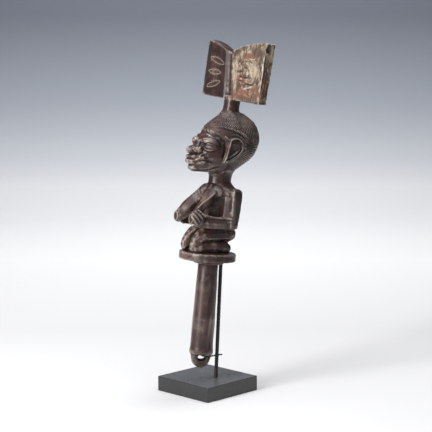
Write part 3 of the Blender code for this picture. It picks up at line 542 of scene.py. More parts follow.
# Lines of the carving on both flanks, raised above 0 and cut below 0: (height, half width, line).
# A place is given as it is seen from 57 degrees round from the front: s across and z up.
VIEW = math.radians(57.0)
LINES = [
    # Upper lid: arcs along it, its border under the brow and the crease over the eyeball
    (-0.5, 0.6, [(-19.6, 153.6), (-13.6, 155.8), (-7.0, 154.0), (-2.0, 149.6)]),
    (-0.4, 0.6, [(-18.6, 156.4), (-12.6, 158.2), (-6.6, 155.8), (-1.8, 151.0)]),
    (0.6, 0.8, [(-15.9, 161.0), (-10.7, 159.2), (-5.6, 155.6), (-2.0, 150.9), (0.7, 146.5)]),
    (-1.2, 1.4, [(-16.1, 163.4), (-9.5, 161.4), (-3.9, 157.3), (0.7, 151.3), (3.0, 145.3)]),
    (-1.1, 0.8, [(-18.0, 148.4), (-13.7, 150.2), (-8.6, 149.6), (-3.4, 148.4), (0.3, 146.5)]),
    (-0.6, 0.9, [(-17.0, 144.0), (-12.8, 139.7), (-7.7, 139.0), (-2.9, 141.4)]),
    # Nose wing, its fold to the cheek and the groove beside the bridge
    (-1.1, 1.0, [(-26.0, 142.3), (-23.4, 146.7), (-21.2, 150.6)]),
    (-1.2, 1.0, [(-32.2, 139.6), (-28.1, 136.2), (-24.0, 135.4), (-20.0, 136.4), (-18.6, 141.0)]),
    (1.0, 1.2, [(-23.2, 131.0), (-20.5, 135.0), (-17.5, 136.8), (-13.8, 138.4)]),
    (-0.7, 0.9, [(-20.6, 131.6), (-17.6, 134.0), (-14.0, 134.8), (-12.6, 132.0)]),
    # Raised fold from the mouth's corner, the hollow below it and the jaw's edge
    (0.9, 1.2, [(-27.9, 126.8), (-24.3, 129.0), (-20.7, 131.2), (-17.0, 131.6)]),
    (-0.9, 1.4, [(-26.5, 124.6), (-19.2, 127.6), (-12.9, 128.1), (-6.5, 126.8)]),
    (-1.0, 1.0, [(-30.6, 114.6), (-21.8, 114.4), (-14.3, 115.4), (-8.2, 117.2), (-3.4, 119.6), (2.7, 122.0)]),
    (0.9, 1.5, [(-11.7, 112.8), (-5.2, 110.8), (2.2, 112.1), (9.4, 115.9)]),
    # Edge of the hair in front of the ear, a lock beside it, and the cut behind the ear's rim
    (-1.2, 1.9, [(-8.3, 160.6), (0.7, 158.9), (7.6, 153.3), (8.6, 143.4), (7.4, 132.0)]),
    (0.9, 1.0, [(6.8, 160.2), (12.4, 156.2)]),
    (-1.3, 1.1, [(20.0, 157.0), (26.4, 155.6), (31.4, 151.4), (32.4, 145.0), (27.5, 138.0), (19.0, 132.0),
                 (13.6, 128.8)]),
    # Lines down the forehead and its raised border
    (-0.6, 0.7, [(-25.1, 166.6), (-25.6, 157.8)]),
    (-0.6, 0.7, [(-21.5, 168.2), (-22.0, 159.4)]),
    (-0.6, 0.7, [(-17.9, 168.5), (-17.9, 161.0)]),
    (0.5, 0.8, [(-15.4, 170.6), (-14.7, 162.9)]),
    # Raised plait along the side of the head, with cuts under it
    (1.0, 1.2, [(-15.5, 171.2), (-2.9, 171.1), (4.6, 171.7), (14.7, 170.1), (25.0, 167.3), (31.6, 164.1),
                (35.7, 160.7)]),
    (-0.9, 1.0, [(5.0, 169.0), (15.0, 167.3), (24.0, 164.7), (30.5, 161.0)]),
    (-0.8, 0.9, [(24.3, 163.2), (28.7, 162.6), (31.6, 159.4)]),
    # Breast's outer edge, the forearm's middle ridge and under edge, the thigh's lower edge
    (0.6, 1.1, [(1.9, 88.5), (-5.0, 81.6), (-13.2, 74.6), (-20.1, 66.4)]),
    (0.6, 1.0, [(-12.0, 60.6), (-6.9, 59.5), (3.4, 57.9), (16.0, 57.6), (24.0, 57.6)]),
    (-0.6, 1.2, [(-8.4, 54.4), (4.0, 54.6), (25.3, 55.0)]),
    (-0.7, 1.0, [(-7.9, 42.1), (4.7, 42.6), (26.0, 44.5)]),
    (0.6, 1.2, [(-3.0, 29.9), (9.5, 31.0), (21.9, 33.4), (29.1, 37.8)]),
    # Front facet of the upper arm: its raised outer edge and the groove beside it
    (0.7, 1.3, [(24.6, 92.0), (24.3, 75.4), (24.6, 60.0)]),
    (-0.7, 1.0, [(18.6, 89.0), (21.4, 84.0), (21.2, 66.0)]),
]
# The left blade's worn carving, seen the same way but on that blade alone: ridges and cuts
BLADE_LINES = [
    (0.9, 0.9, [(15.2, 248.8), (19.6, 255.5), (26.8, 259.2), (34.4, 258.0), (40.0, 251.1), (42.1, 241.3)]),
    (0.8, 0.9, [(16.5, 243.5), (19.2, 246.1), (25.1, 249.7), (30.5, 245.2), (32.7, 235.5), (29.4, 230.2)]),
    (0.8, 0.9, [(22.8, 220.2), (30.1, 222.8), (37.2, 227.1), (41.5, 235.0)]),
    (0.9, 1.0, [(5.2, 262.9), (8.9, 255.8), (7.8, 243.2), (7.2, 230.7), (6.6, 215.7)]),
    (-0.9, 0.9, [(23.0, 254.6), (28.6, 255.4), (34.0, 252.4)]),
    (-1.0, 0.9, [(26.6, 245.6), (28.8, 240.0), (27.6, 234.6)]),
    (-1.3, 1.1, [(16.4, 241.6), (20.4, 242.8)]),
    (-1.7, 1.2, [(17.0, 236.6), (22.6, 235.2), (28.0, 235.6)]),
    (-1.5, 1.2, [(15.5, 231.4), (21.6, 230.4), (24.5, 227.6), (34.6, 226.2)]),
    (-1.4, 1.6, [(17.2, 229.0), (17.6, 223.0)]),
    (-0.9, 0.9, [(11.0, 250.0), (12.4, 238.0), (11.4, 224.0)]),
    (-1.1, 0.9, [(39.6, 231.0), (38.6, 220.0), (37.6, 211.0)]),
    (-0.9, 0.9, [(24.0, 217.6), (30.6, 213.0), (36.0, 210.6)]),
    (-0.9, 0.8, [(42.6, 276.0), (43.4, 264.0), (42.8, 250.0), (41.4, 240.0)]),
    (0.7, 0.8, [(44.9, 262.0), (44.8, 240.3), (42.9, 221.4), (42.1, 208.6)]),
    (-1.0, 0.9, [(47.0, 274.0), (46.8, 258.0), (46.4, 236.0), (44.6, 214.0)]),
    (-0.7, 0.8, [(50.6, 262.0), (50.0, 240.0), (48.6, 216.0)]),
    (-2.0, 2.0, [(49.0, 273.5), (49.8, 267.5)]),
]
# The figure's painted shade, seen from the front left: dark patches on planes turned from the lamps, given as
# (s, z, half width, half height, slant)
PAINTED_SHADE_PATCHES = [(0.5, 146.0, 13.5, 13.0, 0), (-6.0, 136.5, 10.0, 6.0, 0), (-19.0, 145.5, 3.0, 5.0, 0),
         (32.5, 72.0, 5.2, 26.0, 0), (9.0, 73.0, 9.0, 9.0, 0), (16.0, 4.5, 18.0, 7.5, 0),
         (8.0, 36.0, 20.0, 5.5, 0), (0.5, -124.0, 10.0, 11.0, 0), (6.0, -60.0, 3.0, 55.0, -3),
         (9.5, 104.0, 4.0, 10.0, 0), (40.0, 150.0, 6.0, 9.0, 0), (-3.5, 154.0, 10.0, 3.0, -38),
         (-34.0, 134.0, 4.0, 8.0, 0), (-30.0, 148.5, 5.0, 3.5, 0), (24.0, 24.0, 9.0, 4.0, 0),
         (-3.0, 245.0, 8.0, 40.0, 0), (-14.0, 216.0, 13.0, 8.0, 0), (-15.0, 268.0, 14.0, 8.0, 0),
         (-22.0, 242.0, 4.0, 34.0, 0), (-33.5, 143.5, 3.0, 3.0, 0), (-31.0, 76.0, 8.0, 20.0, 38),
         (0.0, 168.0, 22.0, 7.0, -12), (-2.0, 178.0, 15.0, 9.0, 0), (-1.0, 158.0, 14.0, 4.0, -20),
         (14.0, 4.5, 34.0, 6.0, 3), (2.0, -2.5, 24.0, 4.0, 4), (0.0, -114.0, 17.0, 4.0, 4)]
# Lighter patches, given the same way: a few worn spots, such as the chip in the platform's rim, and mostly
# painted highlights on lit ridges and planes
WORN_AND_HIGHLIGHT_PATCHES = [(-9.0, 75.0, 6.0, 16.0, 40), (25.6, 72.0, 2.2, 25.0, 2), (-23.0, 136.0, 4.0, 6.0, 0),
          (-12.5, 155.0, 6.0, 3.0, 20), (34.0, 177.0, 8.0, 12.0, 0), (-31.0, 8.0, 6.0, 4.0, 0),
          (-15.5, 5.8, 4.2, 3.2, 0), (-6.0, 121.5, 6.0, 3.0, 0), (-29.0, 27.0, 4.0, 8.0, 0),
          (9.5, 58.0, 18.0, 1.8, 0), (-13.0, -60.0, 2.2, 60.0, -2)]
# Stains on the left blade, as patches: (s, z, half width, half height, slant in degrees)
BROWN_STAINS = [(22.5, 235.8, 7.5, 2.8, 0), (17.5, 228.0, 3.6, 8.0, 0), (28.0, 226.2, 9.0, 2.8, 8),
                (17.0, 242.5, 4.5, 2.2, 20), (37.0, 267.0, 8.0, 9.0, 0), (28.0, 209.4, 14.0, 3.4, -10),
                (50.0, 271.0, 3.4, 7.5, 0), (47.0, 238.0, 2.4, 38.0, 2), (12.0, 266.0, 6.0, 5.0, 30),
                (19.0, 255.5, 5.0, 2.0, 20), (24.5, 248.0, 3.0, 3.0, 0), (9.5, 222.0, 2.0, 10.0, 0),
                (51.0, 222.0, 4.0, 14.0, 0), (41.0, 256.0, 1.6, 14.0, 0), (20.0, 272.5, 5.0, 3.0, 20)]
RED_STAINS = [(24.5, 215.5, 11.0, 7.0, -10), (38.0, 217.5, 4.5, 10.5, 8), (19.5, 232.0, 4.5, 8.0, 0),
              (28.0, 261.5, 10.0, 4.5, 5), (47.5, 228.0, 2.2, 12.0, 0), (15.0, 212.0, 5.0, 4.0, 0)]
BLEACHED = [(12.5, 240.0, 4.0, 22.0, 0), (33.0, 245.5, 7.0, 11.0, 0), (31.5, 223.6, 8.5, 1.8, 18),
            (28.5, 267.0, 3.5, 2.4, 0), (53.5, 270.0, 2.0, 9.0, 0)]
# Round pits on both flanks: (s, z, depth, radius)
PITS = [(-17.8, 147.4, 1.8, 1.5), (-11.0, 145.4, 0.0, 1.0)]


def seen_from_flank(points, mirrored=True):
    """Places across and up as seen from the front left, and how far they stand forward there."""
    x = np.abs(points[:, 0]) if mirrored else points[:, 0]
    across = math.cos(VIEW) * x + math.sin(VIEW) * points[:, 1]
    towards = math.sin(VIEW) * x - math.cos(VIEW) * points[:, 1]
    up = points[:, 2] - towards * (0.115 - 0.00056 * points[:, 2])
    return across, up, towards


def strokes(lines, across, up, shown):
    """Height of a set of raised and cut lines at each place."""
    lift = np.zeros(len(across))
    for height, half, line in lines:
        low = np.min(line, axis=0) - 3 * half
        high = np.max(line, axis=0) + 3 * half
        near = (across > low[0]) & (across < high[0]) & (up > low[1]) & (up < high[1]) & (shown > 0)
        gap, share = reach_of(line, across[near], up[near])
        ends = np.minimum(1.0, 0.35 + 8 * np.minimum(share, 1 - share))
        lift[near] += height * np.exp(-(gap / half) ** 2) * ends * shown[near]
    return lift


def line_relief(points, normals):
    across, up, towards = seen_from_flank(points)
    facing = math.sin(VIEW) * np.abs(normals[:, 0]) * np.sign(points[:, 0] * normals[:, 0])
    facing -= math.cos(VIEW) * normals[:, 1]
    shown = ramp(facing, 0.05, 0.3) * ramp(towards, 2.0, 7.0)
    lift = strokes(LINES, across, up, shown)
    for s, z, depth, radius in PITS:
        lift -= depth * np.exp(-((across - s) ** 2 + (up - z) ** 2) / radius ** 2) * shown
    on_blade = ramp(points[:, 2], 204.0, 207.0) * ramp(points[:, 0], 0.0, 4.0)
    return lift + strokes(BLADE_LINES, across, up, shown * on_blade)


def stained(points, table):
    """Share of each point that a list of soft-edged patches covers."""
    across, up, _ = seen_from_flank(points, mirrored=False)
    ragged = 1.0 + 0.35 * noise(points, 3.0, 31) + 0.25 * noise(points, 1.3, 32)
    cover = np.zeros(len(points))
    for s, z, wide, high, slant in table:
        a = math.radians(slant)
        u = ((across - s) * math.cos(a) + (up - z) * math.sin(a)) / wide
        v = (-(across - s) * math.sin(a) + (up - z) * math.cos(a)) / high
        cover = np.maximum(cover, ramp(np.hypot(u, v) * ragged, 1.25, 0.45))
    return cover


def groove(phase):
    """Rounded strands with narrow cuts between them, from 0 in a cut to 1 on top."""
    return np.abs(np.sin(phase / 2))


def hair_mask(points):
    """How much each point belongs to the hair: above the hairline, clear of the ear and of the stem."""
    _, y, z = points.T
    hairline = np.interp(y, [-26.0, -16.0, -8.0, 0.0, 2.0], [170.5, 165.0, 161.0, 159.0, 158.0])
    front = ramp(z, hairline - 0.5, hairline + 0.8)
    behind = ramp(y, 14.0, 18.0) * ramp(z, 122.0, 128.0)
    over_ear = np.hypot((y - 6.0) / 13.5, (z - 146.0) / 14.5)
    clear = ramp(over_ear, 1.0, 1.12)
    crown = ramp(z, 193.0, 187.0)
    body = ramp(z, 119.0, 124.0)
    return np.maximum(front, behind) * clear * crown * body


def hair_relief(points):
    """Strands that run up to the stem, herringbone over the brow and waves above the ear."""
    x, y, z = points.T
    side = np.abs(x)
    around = np.arctan2(side, -(y - 14.0))
    mask = hair_mask(points)
    wobble = 0.5 * noise(points, 7.0, 3)
    fan = groove(around * 62.0 + wobble * 2.0 + 0.08 * (z - 170))
    # Herringbone band over the hairline, at the front
    saw = np.abs(((z - 172.0) / 3.4) % 2.0 - 1.0)
    herring = groove(around * 56.0 + saw * 7.5 + wobble)
    # Waves between the plait and the ear, slanting back and down
    slant = groove((y * 0.72 + z * 0.95) * 3.0 + 1.6 * np.sin(y * 0.35) + wobble)
    # Behind the ear: strands that spread from it
    spread = np.arctan2(z - 147.0, np.maximum(y, 1.0) - 2.0)
    nape = groove(spread * 76.0 + wobble)
    across, up, _ = seen_from_flank(points)
    plait = np.interp(across, [-15.5, -2.9, 4.6, 14.7, 25.0, 31.6, 35.7, 48.0],
                      [171.2, 171.1, 171.7, 170.1, 167.3, 164.1, 160.7, 152.0])
    above = ramp(up, plait - 0.4, plait + 0.6)
    front_band = ramp(around, 1.75, 1.45) * ramp(z, 186.0, 182.0)
    rear = ramp(y, 17.0, 22.0)
    upper = fan * (1 - front_band) + herring * front_band
    lower = slant * (1 - rear) + nape * rear
    strands = upper * above + lower * (1 - above)
    return mask * (strands - 1.0) * 0.8


def oval_gap(points, normals):
    """Distance of each point from the lens-shaped rings in the blades' front faces."""
    gaps = np.full(len(points), 99.0)
    on_front = (points[:, 2] > AXE_BOTTOM) & (normals[:, 1] < -0.6)
    x, z = points[on_front, 0], points[on_front, 2]
    best = np.full(len(x), 99.0)
    for side in (1.0, -1.0):
        for cx, cz, long, high, slant in OVALS:
            a = math.radians(slant * side)
            along = (x - cx * side) * math.cos(a) + (z - cz) * math.sin(a)
            up = -(x - cx * side) * math.sin(a) + (z - cz) * math.cos(a)
            # Distance from the lens's outline, from its slope at the point
            t = np.clip(np.abs(along) / long, 0.0, 0.999)
            edge = high * (1.0 - t ** 2) ** 0.65
            gap = np.abs(np.abs(up) - edge) / np.sqrt(1.0 + (1.6 * high / long * t) ** 2)
            past = np.maximum(0.0, np.abs(along) - long)
            best = np.minimum(best, np.hypot(gap, past))
    gaps[on_front] = best
    return gaps


def oval_relief(points, normals):
    """The rings' shallow cuts."""
    return -OVAL_CUT * np.exp(-(oval_gap(points, normals) / OVAL_CUT_HALF) ** 2)


def wear_relief(points):
    """Tool marks, dents and grain of the hand-carved wood."""
    z = points[:, 2]
    handle = ramp(z, 2.0, -2.0)
    on_axe = ramp(z, 205.0, 209.0)
    marks = 0.09 * noise(points, 6.5, 11) + 0.07 * noise(points, 2.2, 12)
    smooth = 0.10 * noise(points, 9.0, 13)
    pits = np.minimum(0.0, noise(points * np.array([1.0, 1.0, 0.35]), 1.5, 14) + 0.35) * 0.5
    left_blade = ramp(points[:, 0], 0.0, 6.0)
    rough = 0.28 * noise(points * np.array([1.0, 1.0, 0.45]), 2.2, 15) + 0.30 * noise(points, 5.0, 16)
    lift = marks * (1 - handle) + smooth * handle
    return lift + on_axe * (pits + rough) * (0.15 + 0.85 * left_blade)


def arrays_of(mesh):
    count = len(mesh.vertices)
    points = np.empty(count * 3)
    mesh.vertices.foreach_get("co", points)
    normals = np.empty(count * 3)
    mesh.vertex_normals.foreach_get("vector", normals)
    return points.reshape(-1, 3), normals.reshape(-1, 3)


def move_points(mesh, lift_of):
    points, normals = arrays_of(mesh)
    points += normals * lift_of(points, normals)[:, None]
    mesh.vertices.foreach_set("co", points.ravel())
    mesh.update()


def thinned(mesh, faces):
    """The mesh with at most that many triangles, fewer where it is flat."""
    obj = bpy.data.objects.new("thin", mesh)
    bpy.context.scene.collection.objects.link(obj)
    step = obj.modifiers.new("thin", 'DECIMATE')
    triangles = sum(len(p.vertices) - 2 for p in mesh.polygons)
    step.ratio = min(1.0, faces / triangles)
    step.use_collapse_triangulate = True
    return finished_mesh(obj)


def fine_relief(points, normals):
    return (line_relief(points, normals) + hair_relief(points) + oval_relief(points, normals)
            + wear_relief(points))


def hollow_of(mesh, rounds):
    """How far each point lies below its surroundings, in millimetres; ridges are below 0."""
    points, normals = arrays_of(mesh)
    edges = np.empty(len(mesh.edges) * 2, np.int32)
    mesh.edges.foreach_get("vertices", edges)
    a, b = edges.reshape(-1, 2).T
    count = np.bincount(a, minlength=len(points)) + np.bincount(b, minlength=len(points))
    level = points.copy()
    for _ in range(rounds):
        total = np.empty_like(level)
        for axis in range(3):
            total[:, axis] = (np.bincount(a, level[b, axis], len(points))
                              + np.bincount(b, level[a, axis], len(points)))
        level = 0.5 * level + 0.5 * total / count[:, None]
    return np.einsum("ij,ij->i", level - points, normals)


def store(mesh, name, values):
    layer = mesh.attributes.new(name, 'FLOAT', 'POINT')
    layer.data.foreach_set("value", values.astype(np.float32))


def carved_staff():
    mesh = raw_carving()
    move_points(mesh, fine_relief)
    mesh = thinned(mesh, PIECE_FACES)
    mesh.name = "carved_staff"
    points, normals = arrays_of(mesh)
    near = hollow_of(mesh, 6)
    wide = hollow_of(mesh, 40)
    store(mesh, "hollow", near / HOLLOW_FULL)
    store(mesh, "deep", wide / DEEP_FULL)
    z = points[:, 2]
    on_axe = ramp(z, 203.0, 209.0)
    left = ramp(points[:, 0], AXE_SEAM + 1.0, AXE_SEAM + 9.0)
    store(mesh, "pale", on_axe * (0.15 + 0.85 * left))
    on_right = on_axe * ramp(points[:, 0], 2.0, -4.0)
    store(mesh, "dust", on_right * ramp(oval_gap(points, normals) + 0.2 * noise(points, 2.0, 33), 0.6, 0.3))
    on_left = on_axe * ramp(points[:, 0], 0.0, 4.0)
    for name, table in (("brown", BROWN_STAINS), ("red", RED_STAINS), ("bleached", BLEACHED)):
        store(mesh, name, stained(points, table) * on_left)
    # Patches of painted shade, and patches of wear with painted highlights, off the left blade
    for name, table in (("painted_shade", PAINTED_SHADE_PATCHES), ("worn_and_highlight", WORN_AND_HIGHLIGHT_PATCHES)):
        store(mesh, name, stained(points, table) * (1 - on_left))
    mesh.shade_smooth()
    carved = bpy.data.objects.new("carved_staff", mesh)
    bpy.context.scene.collection.objects.link(carved)
    place = (Matrix.Translation(Vector(STAFF_ORIGIN) * MM) @ Matrix.Rotation(STAFF_YAW, 4, 'Z')
             @ Matrix.Rotation(STAFF_LEAN, 4, 'X') @ Matrix.Scale(MM, 4))
    mesh.transform(place)
    points, _ = arrays_of(mesh)
    mesh.vertices.foreach_set("co", np.clip(points, *CAD_BOX).ravel())
    mesh.update()
    return carved


class Nodes:
    """Short ways to add and join shader nodes."""

    def __init__(self, name):
        self.material = bpy.data.materials.new(name)
        self.material.use_nodes = True
        self.tree = self.material.node_tree
        self.shader = self.tree.nodes["Principled BSDF"]

    def add(self, kind, **settings):
        node = self.tree.nodes.new(kind)
        for key, value in settings.items():
            setattr(node, key, value)
        return node

    def put(self, socket, value):
        if hasattr(value, "is_output"):
            self.tree.links.new(value, socket)
        elif isinstance(value, tuple) and len(value) == 3 and socket.type == 'RGBA':
            socket.default_value = (*value, 1.0)
        else:
            socket.default_value = value

    def attribute(self, name):
        return self.add("ShaderNodeAttribute", attribute_name=name).outputs["Fac"]

    def spot(self, scale=(1, 1, 1), turn=(0, 0, 0)):
        """Object coordinates, stretched."""
        where = self.add("ShaderNodeTexCoord").outputs["Object"]
        mapping = self.add("ShaderNodeMapping")
        mapping.inputs["Scale"].default_value = scale
        mapping.inputs["Rotation"].default_value = turn
        self.put(mapping.inputs["Vector"], where)
        return mapping.outputs["Vector"]

    def noise(self, vector, scale, detail=4.0, rough=0.55, distort=0.0):
        node = self.add("ShaderNodeTexNoise")
        self.put(node.inputs["Vector"], vector)
        node.inputs["Scale"].default_value = scale
        node.inputs["Detail"].default_value = detail
        node.inputs["Roughness"].default_value = rough
        node.inputs["Distortion"].default_value = distort
        return node.outputs["Fac"]

    def math(self, operation, a, b=0.0):
        node = self.add("ShaderNodeMath", operation=operation)
        self.put(node.inputs[0], a)
        self.put(node.inputs[1], b)
        return node.outputs[0]

    def span(self, value, low, high, to_low=0.0, to_high=1.0, linear=False):
        node = self.add("ShaderNodeMapRange", interpolation_type='LINEAR' if linear else 'SMOOTHSTEP')
        self.put(node.inputs["Value"], value)
        node.inputs["From Min"].default_value = low
        node.inputs["From Max"].default_value = high
        node.inputs["To Min"].default_value = to_low
        node.inputs["To Max"].default_value = to_high
        return node.outputs["Result"]

    def mix(self, share, a, b):
        node = self.add("ShaderNodeMix", data_type='RGBA')
        self.put(node.inputs["Factor"], share)
        self.put(node.inputs["A"], a)
        self.put(node.inputs["B"], b)
        return node.outputs["Result"]

    def tint(self, base, share, amount, colour):
        """A colour laid over the base, by that amount where the share is 1."""
        return self.mix(self.math('MULTIPLY', share, amount), base, colour)

    def bump(self, height, strength, distance):
        node = self.add("ShaderNodeBump")
        self.put(node.inputs["Height"], height)
        node.inputs["Strength"].default_value = strength
        node.inputs["Distance"].default_value = distance
        return node.outputs["Normal"]


def wood_material():
    """Dark, handled hardwood: reddish and lighter where it is worn or a highlight is painted, painted shade
    in the cuts, the hollows and on planes turned from the lamps, grey-brown dust in the right blade's rings,
    a pale worn blade.
    """
    n = Nodes("carved_wood")
    where = n.spot()
    grain_way = n.spot(scale=(1.0, 1.0, 0.12), turn=(STAFF_LEAN, 0, 0))
    broad = n.noise(where, 28.0, 3.0)
    patch = n.noise(where, 70.0, 4.0, 0.6)
    fine = n.noise(where, 420.0, 5.0, 0.65)
    grain = n.noise(grain_way, 520.0, 6.0, 0.6, 0.4)
    hollow = n.attribute("hollow")
    deep = n.attribute("deep")
    pale = n.attribute("pale")

    base = n.mix(n.span(broad, 0.38, 0.62), (0.026, 0.012, 0.010), (0.060, 0.030, 0.023))
    base = n.mix(n.span(patch, 0.5, 0.70, 0.0, 0.55), base, (0.095, 0.070, 0.060))
    base = n.mix(n.span(patch, 0.46, 0.32, 0.0, 0.6), base, (0.070, 0.018, 0.013))
    base = n.mix(n.span(grain, 0.4, 0.7, 0.0, 0.5), base, (0.034, 0.016, 0.014))
    # Lighter patches: worn spots and painted highlights
    base = n.tint(base, n.attribute("worn_and_highlight"), 0.6, (0.165, 0.108, 0.086))
    # Ridges are lighter, partly from wear and partly as a painted highlight; painted shade darkens the cuts
    # and the hollows
    fine_step = n.math('MULTIPLY', n.math('SUBTRACT', fine, 0.5), 0.9)
    ridge = n.span(n.math('ADD', hollow, fine_step), -0.2, -1.3)
    base = n.tint(base, ridge, 0.85, (0.33, 0.27, 0.235))
    cut = n.span(hollow, 0.1, 0.9)
    base = n.tint(base, cut, 0.9, (0.012, 0.007, 0.006))
    base = n.tint(base, n.span(deep, 0.3, 1.6), 0.8, (0.013, 0.008, 0.007))

    # Painted shade: dark patches on the planes turned from the lamps
    painted_shade = n.attribute("painted_shade")
    painted_shade_colour = n.mix(n.span(patch, 0.45, 0.6), (0.008, 0.004, 0.004), (0.040, 0.009, 0.007))
    base = n.tint(base, painted_shade, 0.84, painted_shade_colour)

    # The left blade is worn to pale, dusty wood with brown and reddish remains
    streak = n.noise(n.spot(scale=(1.0, 1.0, 0.45)), 260.0, 6.0, 0.66, 0.5)
    red = n.noise(where, 90.0, 5.0, 0.65)
    worn = n.mix(n.span(streak, 0.42, 0.60), (0.060, 0.036, 0.026), (0.29, 0.215, 0.150))
    worn = n.mix(n.span(fine, 0.56, 0.70, 0.0, 0.75), worn, (0.045, 0.025, 0.018))
    worn = n.mix(n.span(red, 0.56, 0.68, 0.0, 0.6), worn, (0.11, 0.050, 0.034))
    worn = n.tint(worn, n.attribute("bleached"), 0.45, (0.46, 0.375, 0.275))
    worn = n.tint(worn, n.attribute("brown"), 0.85, (0.045, 0.025, 0.018))
    worn = n.tint(worn, n.attribute("red"), 0.7, (0.155, 0.056, 0.030))
    # Painted shade in the blade's cuts and a painted highlight on its ridges
    worn = n.tint(worn, n.span(hollow, 0.3, 1.6), 0.85, (0.030, 0.016, 0.011))
    worn = n.tint(worn, n.span(hollow, -0.5, -1.8), 0.7, (0.60, 0.53, 0.43))
    cover = n.span(n.math('ADD', pale, n.math('MULTIPLY', n.math('SUBTRACT', streak, 0.5), 0.8)), 0.4, 0.75)
    colour = n.mix(cover, base, worn)
    colour = n.tint(colour, n.attribute("dust"), 0.75, (0.27, 0.22, 0.155))
    n.put(n.shader.inputs["Base Color"], colour)
    matt = n.math('ADD', n.math('ADD', cut, cover), n.math('MULTIPLY', painted_shade, 0.45))
    rough = n.span(n.math('ADD', n.math('MULTIPLY', fine, 0.4), matt), 0.1, 1.2, 0.31, 0.75)
    n.put(n.shader.inputs["Roughness"], rough)
    n.shader.inputs["Specular IOR Level"].default_value = 0.5
    relief = n.math('ADD', n.math('MULTIPLY', grain, 0.6), n.math('MULTIPLY', fine, 0.5))
    n.put(n.shader.inputs["Normal"], n.bump(relief, 0.35, 0.0004))
    return n.material


def block_material():
    """Matt charcoal paint on a smooth block, a little scuffed at the edges."""
    n = Nodes("block_paint")
    where = n.spot()
    fine = n.noise(where, 900.0, 3.0)
    cloud = n.noise(where, 22.0, 3.0)
    base = n.mix(n.span(cloud, 0.3, 0.7), (0.010, 0.0102, 0.0105), (0.014, 0.0143, 0.0146))
    base = n.mix(n.span(fine, 0.6, 0.8, 0.0, 0.3), base, (0.055, 0.055, 0.058))
    # Painted highlight: faces turned up are painted lighter than the sides, standing in for the reflection
    # the top catches
    up = n.add("ShaderNodeSeparateXYZ")
    n.put(up.inputs[0], n.add("ShaderNodeNewGeometry").outputs["Normal"])
    base = n.mix(n.span(up.outputs["Z"], 0.7, 1.0), base, (0.085, 0.086, 0.088))
    n.put(n.shader.inputs["Base Color"], base)
    n.put(n.shader.inputs["Roughness"], n.span(cloud, 0.3, 0.7, 0.24, 0.30))
    n.shader.inputs["Specular IOR Level"].default_value = 0.7
    n.put(n.shader.inputs["Normal"], n.bump(fine, 0.12, 0.0002))
    return n.material


def steel_material():
    """Darkened steel wire, lighter where it was brazed and worn."""
    n = Nodes("rod_steel")
    where = n.spot(scale=(1.0, 1.0, 0.25))
    cloud = n.noise(where, 240.0, 4.0)
    base = n.mix(n.span(cloud, 0.35, 0.7), (0.012, 0.011, 0.010), (0.035, 0.032, 0.030))
    n.put(n.shader.inputs["Base Color"], base)
    n.shader.inputs["Metallic"].default_value = 0.2
    n.put(n.shader.inputs["Roughness"], n.span(cloud, 0.3, 0.7, 0.38, 0.58))
    n.put(n.shader.inputs["Normal"], n.bump(cloud, 0.2, 0.0002))
    return n.material


def dress_node(node, material):
    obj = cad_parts[node]
    for slot in obj.material_slots:
        slot.material = material


# The photograph's viewpoint: degrees round from the front and down, place before the turn, focal length
CAMERA_TURN = 44.4
CAMERA_DOWN = 7.88
CAMERA_PLACE = (0.01086, -1.814, 0.477)
FOCAL_PIXELS = 1449.0
PHOTO_PIXELS = 432.0
SENSOR_WIDTH = 36.0
# The paper, in metres: its size, its curve, and the colour at places along its run, a painted shading that
# darkens up the backdrop and towards the camera
PAPER_HALF = 1.1
PAPER_NEAR = -3.0
PAPER_CURVE = 1.6
PAPER_RADIUS = 0.9
PAPER_RUN = 4.0
PAPER_STEPS = 16
PAPER_PAINTED_SHADING = [(0.36, (0.645, 0.645, 0.645)), (1.0, (0.90, 0.90, 0.90)), (1.63, (0.96, 0.96, 0.963)),
                (1.875, (0.85, 0.855, 0.87)), (2.02, (0.66, 0.68, 0.715)), (2.26, (0.40, 0.428, 0.475)),
                (2.573, (0.185, 0.203, 0.243))]


def far_off(distance, height=0.0):
    """A place behind the staff as the camera sees it."""
    turn = math.radians(-CAMERA_TURN)
    return Vector((math.sin(turn), math.cos(turn), 0.0)) * distance + Vector((0, 0, height))


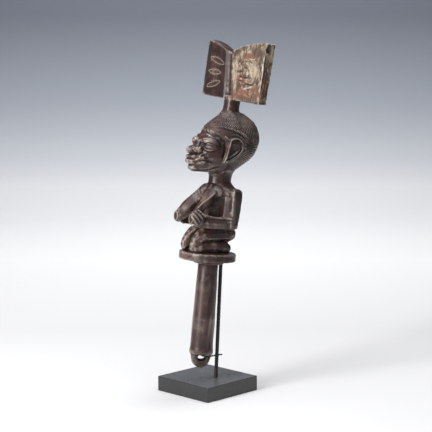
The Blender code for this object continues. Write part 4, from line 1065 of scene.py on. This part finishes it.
def floor_and_backdrop():
    """A pale sweep: floor in front, curving up far behind."""
    away = far_off(1.0)
    across = Vector((away.y, -away.x, 0.0))
    profile = [(PAPER_NEAR, 0.0, PAPER_NEAR), (PAPER_CURVE, 0.0, PAPER_CURVE)]
    for i in range(1, PAPER_STEPS + 1):
        angle = math.pi / 2 * i / PAPER_STEPS
        profile.append((PAPER_CURVE + PAPER_RADIUS * math.sin(angle), PAPER_RADIUS * (1 - math.cos(angle)),
                        PAPER_CURVE + PAPER_RADIUS * angle))
    profile.append((PAPER_CURVE + PAPER_RADIUS, PAPER_RUN, PAPER_RUN + 2.0))
    bm = bmesh.new()
    rows = [[bm.verts.new(away * d + across * w + Vector((0, 0, h))) for w in (-PAPER_HALF, PAPER_HALF)]
            for d, h, _ in profile]
    for low, high in zip(rows, rows[1:]):
        bm.faces.new((low[0], low[1], high[1], high[0]))
    mesh = bpy.data.meshes.new("studio_floor")
    bm.to_mesh(mesh)
    bm.free()
    mesh.shade_smooth()
    store(mesh, "run", np.repeat([run for _, _, run in profile], 2))
    floor = bpy.data.objects.new("studio_floor", mesh)
    bpy.context.scene.collection.objects.link(floor)
    n = Nodes("studio_paper")
    # Painted shading: the paper's colour follows its run, darker up the backdrop and towards the camera
    shade = n.add("ShaderNodeValToRGB")
    shade.color_ramp.elements.remove(shade.color_ramp.elements[1])
    for place, colour in PAPER_PAINTED_SHADING:
        stop = shade.color_ramp.elements.new(place / PAPER_RUN)
        stop.color = (*colour, 1.0)
    shade.color_ramp.elements.remove(shade.color_ramp.elements[0])
    n.put(shade.inputs["Fac"], n.span(n.attribute("run"), 0.0, PAPER_RUN, linear=True))
    n.put(n.shader.inputs["Base Color"], shade.outputs["Color"])
    n.shader.inputs["Roughness"].default_value = 0.9
    mesh.materials.append(n.material)


def area_light(name, azimuth, elevation, distance, size, power, target=(0.0, 0.0, 0.22)):
    """A soft box of that width and height, turned to its target."""
    lamp = bpy.data.lights.new(name, 'AREA')
    lamp.energy = power
    lamp.shape = 'RECTANGLE'
    lamp.size, lamp.size_y = size
    obj = bpy.data.objects.new(name, lamp)
    a, e = math.radians(azimuth), math.radians(elevation)
    way = Vector((math.sin(a) * math.cos(e), -math.cos(a) * math.cos(e), math.sin(e)))
    obj.location = Vector(target) + way * distance
    obj.rotation_euler = way.to_track_quat('Z', 'Y').to_euler()
    bpy.context.scene.collection.objects.link(obj)


def lights():
    world = bpy.data.worlds.new("studio")
    world.use_nodes = True
    background = world.node_tree.nodes["Background"]
    background.inputs["Color"].default_value = (0.86, 0.90, 1.0, 1.0)
    background.inputs["Strength"].default_value = 0.16
    bpy.context.scene.world = world
    area_light("key", CAMERA_TURN - 49, 24, 1.5, (0.55, 1.4), 32)
    area_light("rim", CAMERA_TURN + 130, 72, 1.6, (0.7, 0.7), 12)
    area_light("top", CAMERA_TURN, 80, 1.6, (1.4, 1.2), 22)
    area_light("paper", CAMERA_TURN, 45, 1.5, (1.0, 1.0), 7, target=far_off(2.4, 0.15))


def camera():
    lens = bpy.data.cameras.new("camera")
    lens.sensor_width = SENSOR_WIDTH
    lens.lens = FOCAL_PIXELS / PHOTO_PIXELS * SENSOR_WIDTH
    lens.clip_end = 20.0
    obj = bpy.data.objects.new("camera", lens)
    turn = math.radians(CAMERA_TURN)
    obj.location = Matrix.Rotation(turn, 3, 'Z') @ Vector(CAMERA_PLACE)
    obj.rotation_euler = (math.radians(90 - CAMERA_DOWN), 0.0, turn)
    bpy.context.scene.collection.objects.link(obj)
    bpy.context.scene.camera = obj


camera()
lights()
floor_and_backdrop()

staff = carved_staff()
staff.data.materials.append(wood_material())
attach(staff, "root")
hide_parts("staff")
dress_node("base_block", block_material())
dress_node("support_rod", steel_material())
bpy.context.scene.view_settings.view_transform = 'Standard'
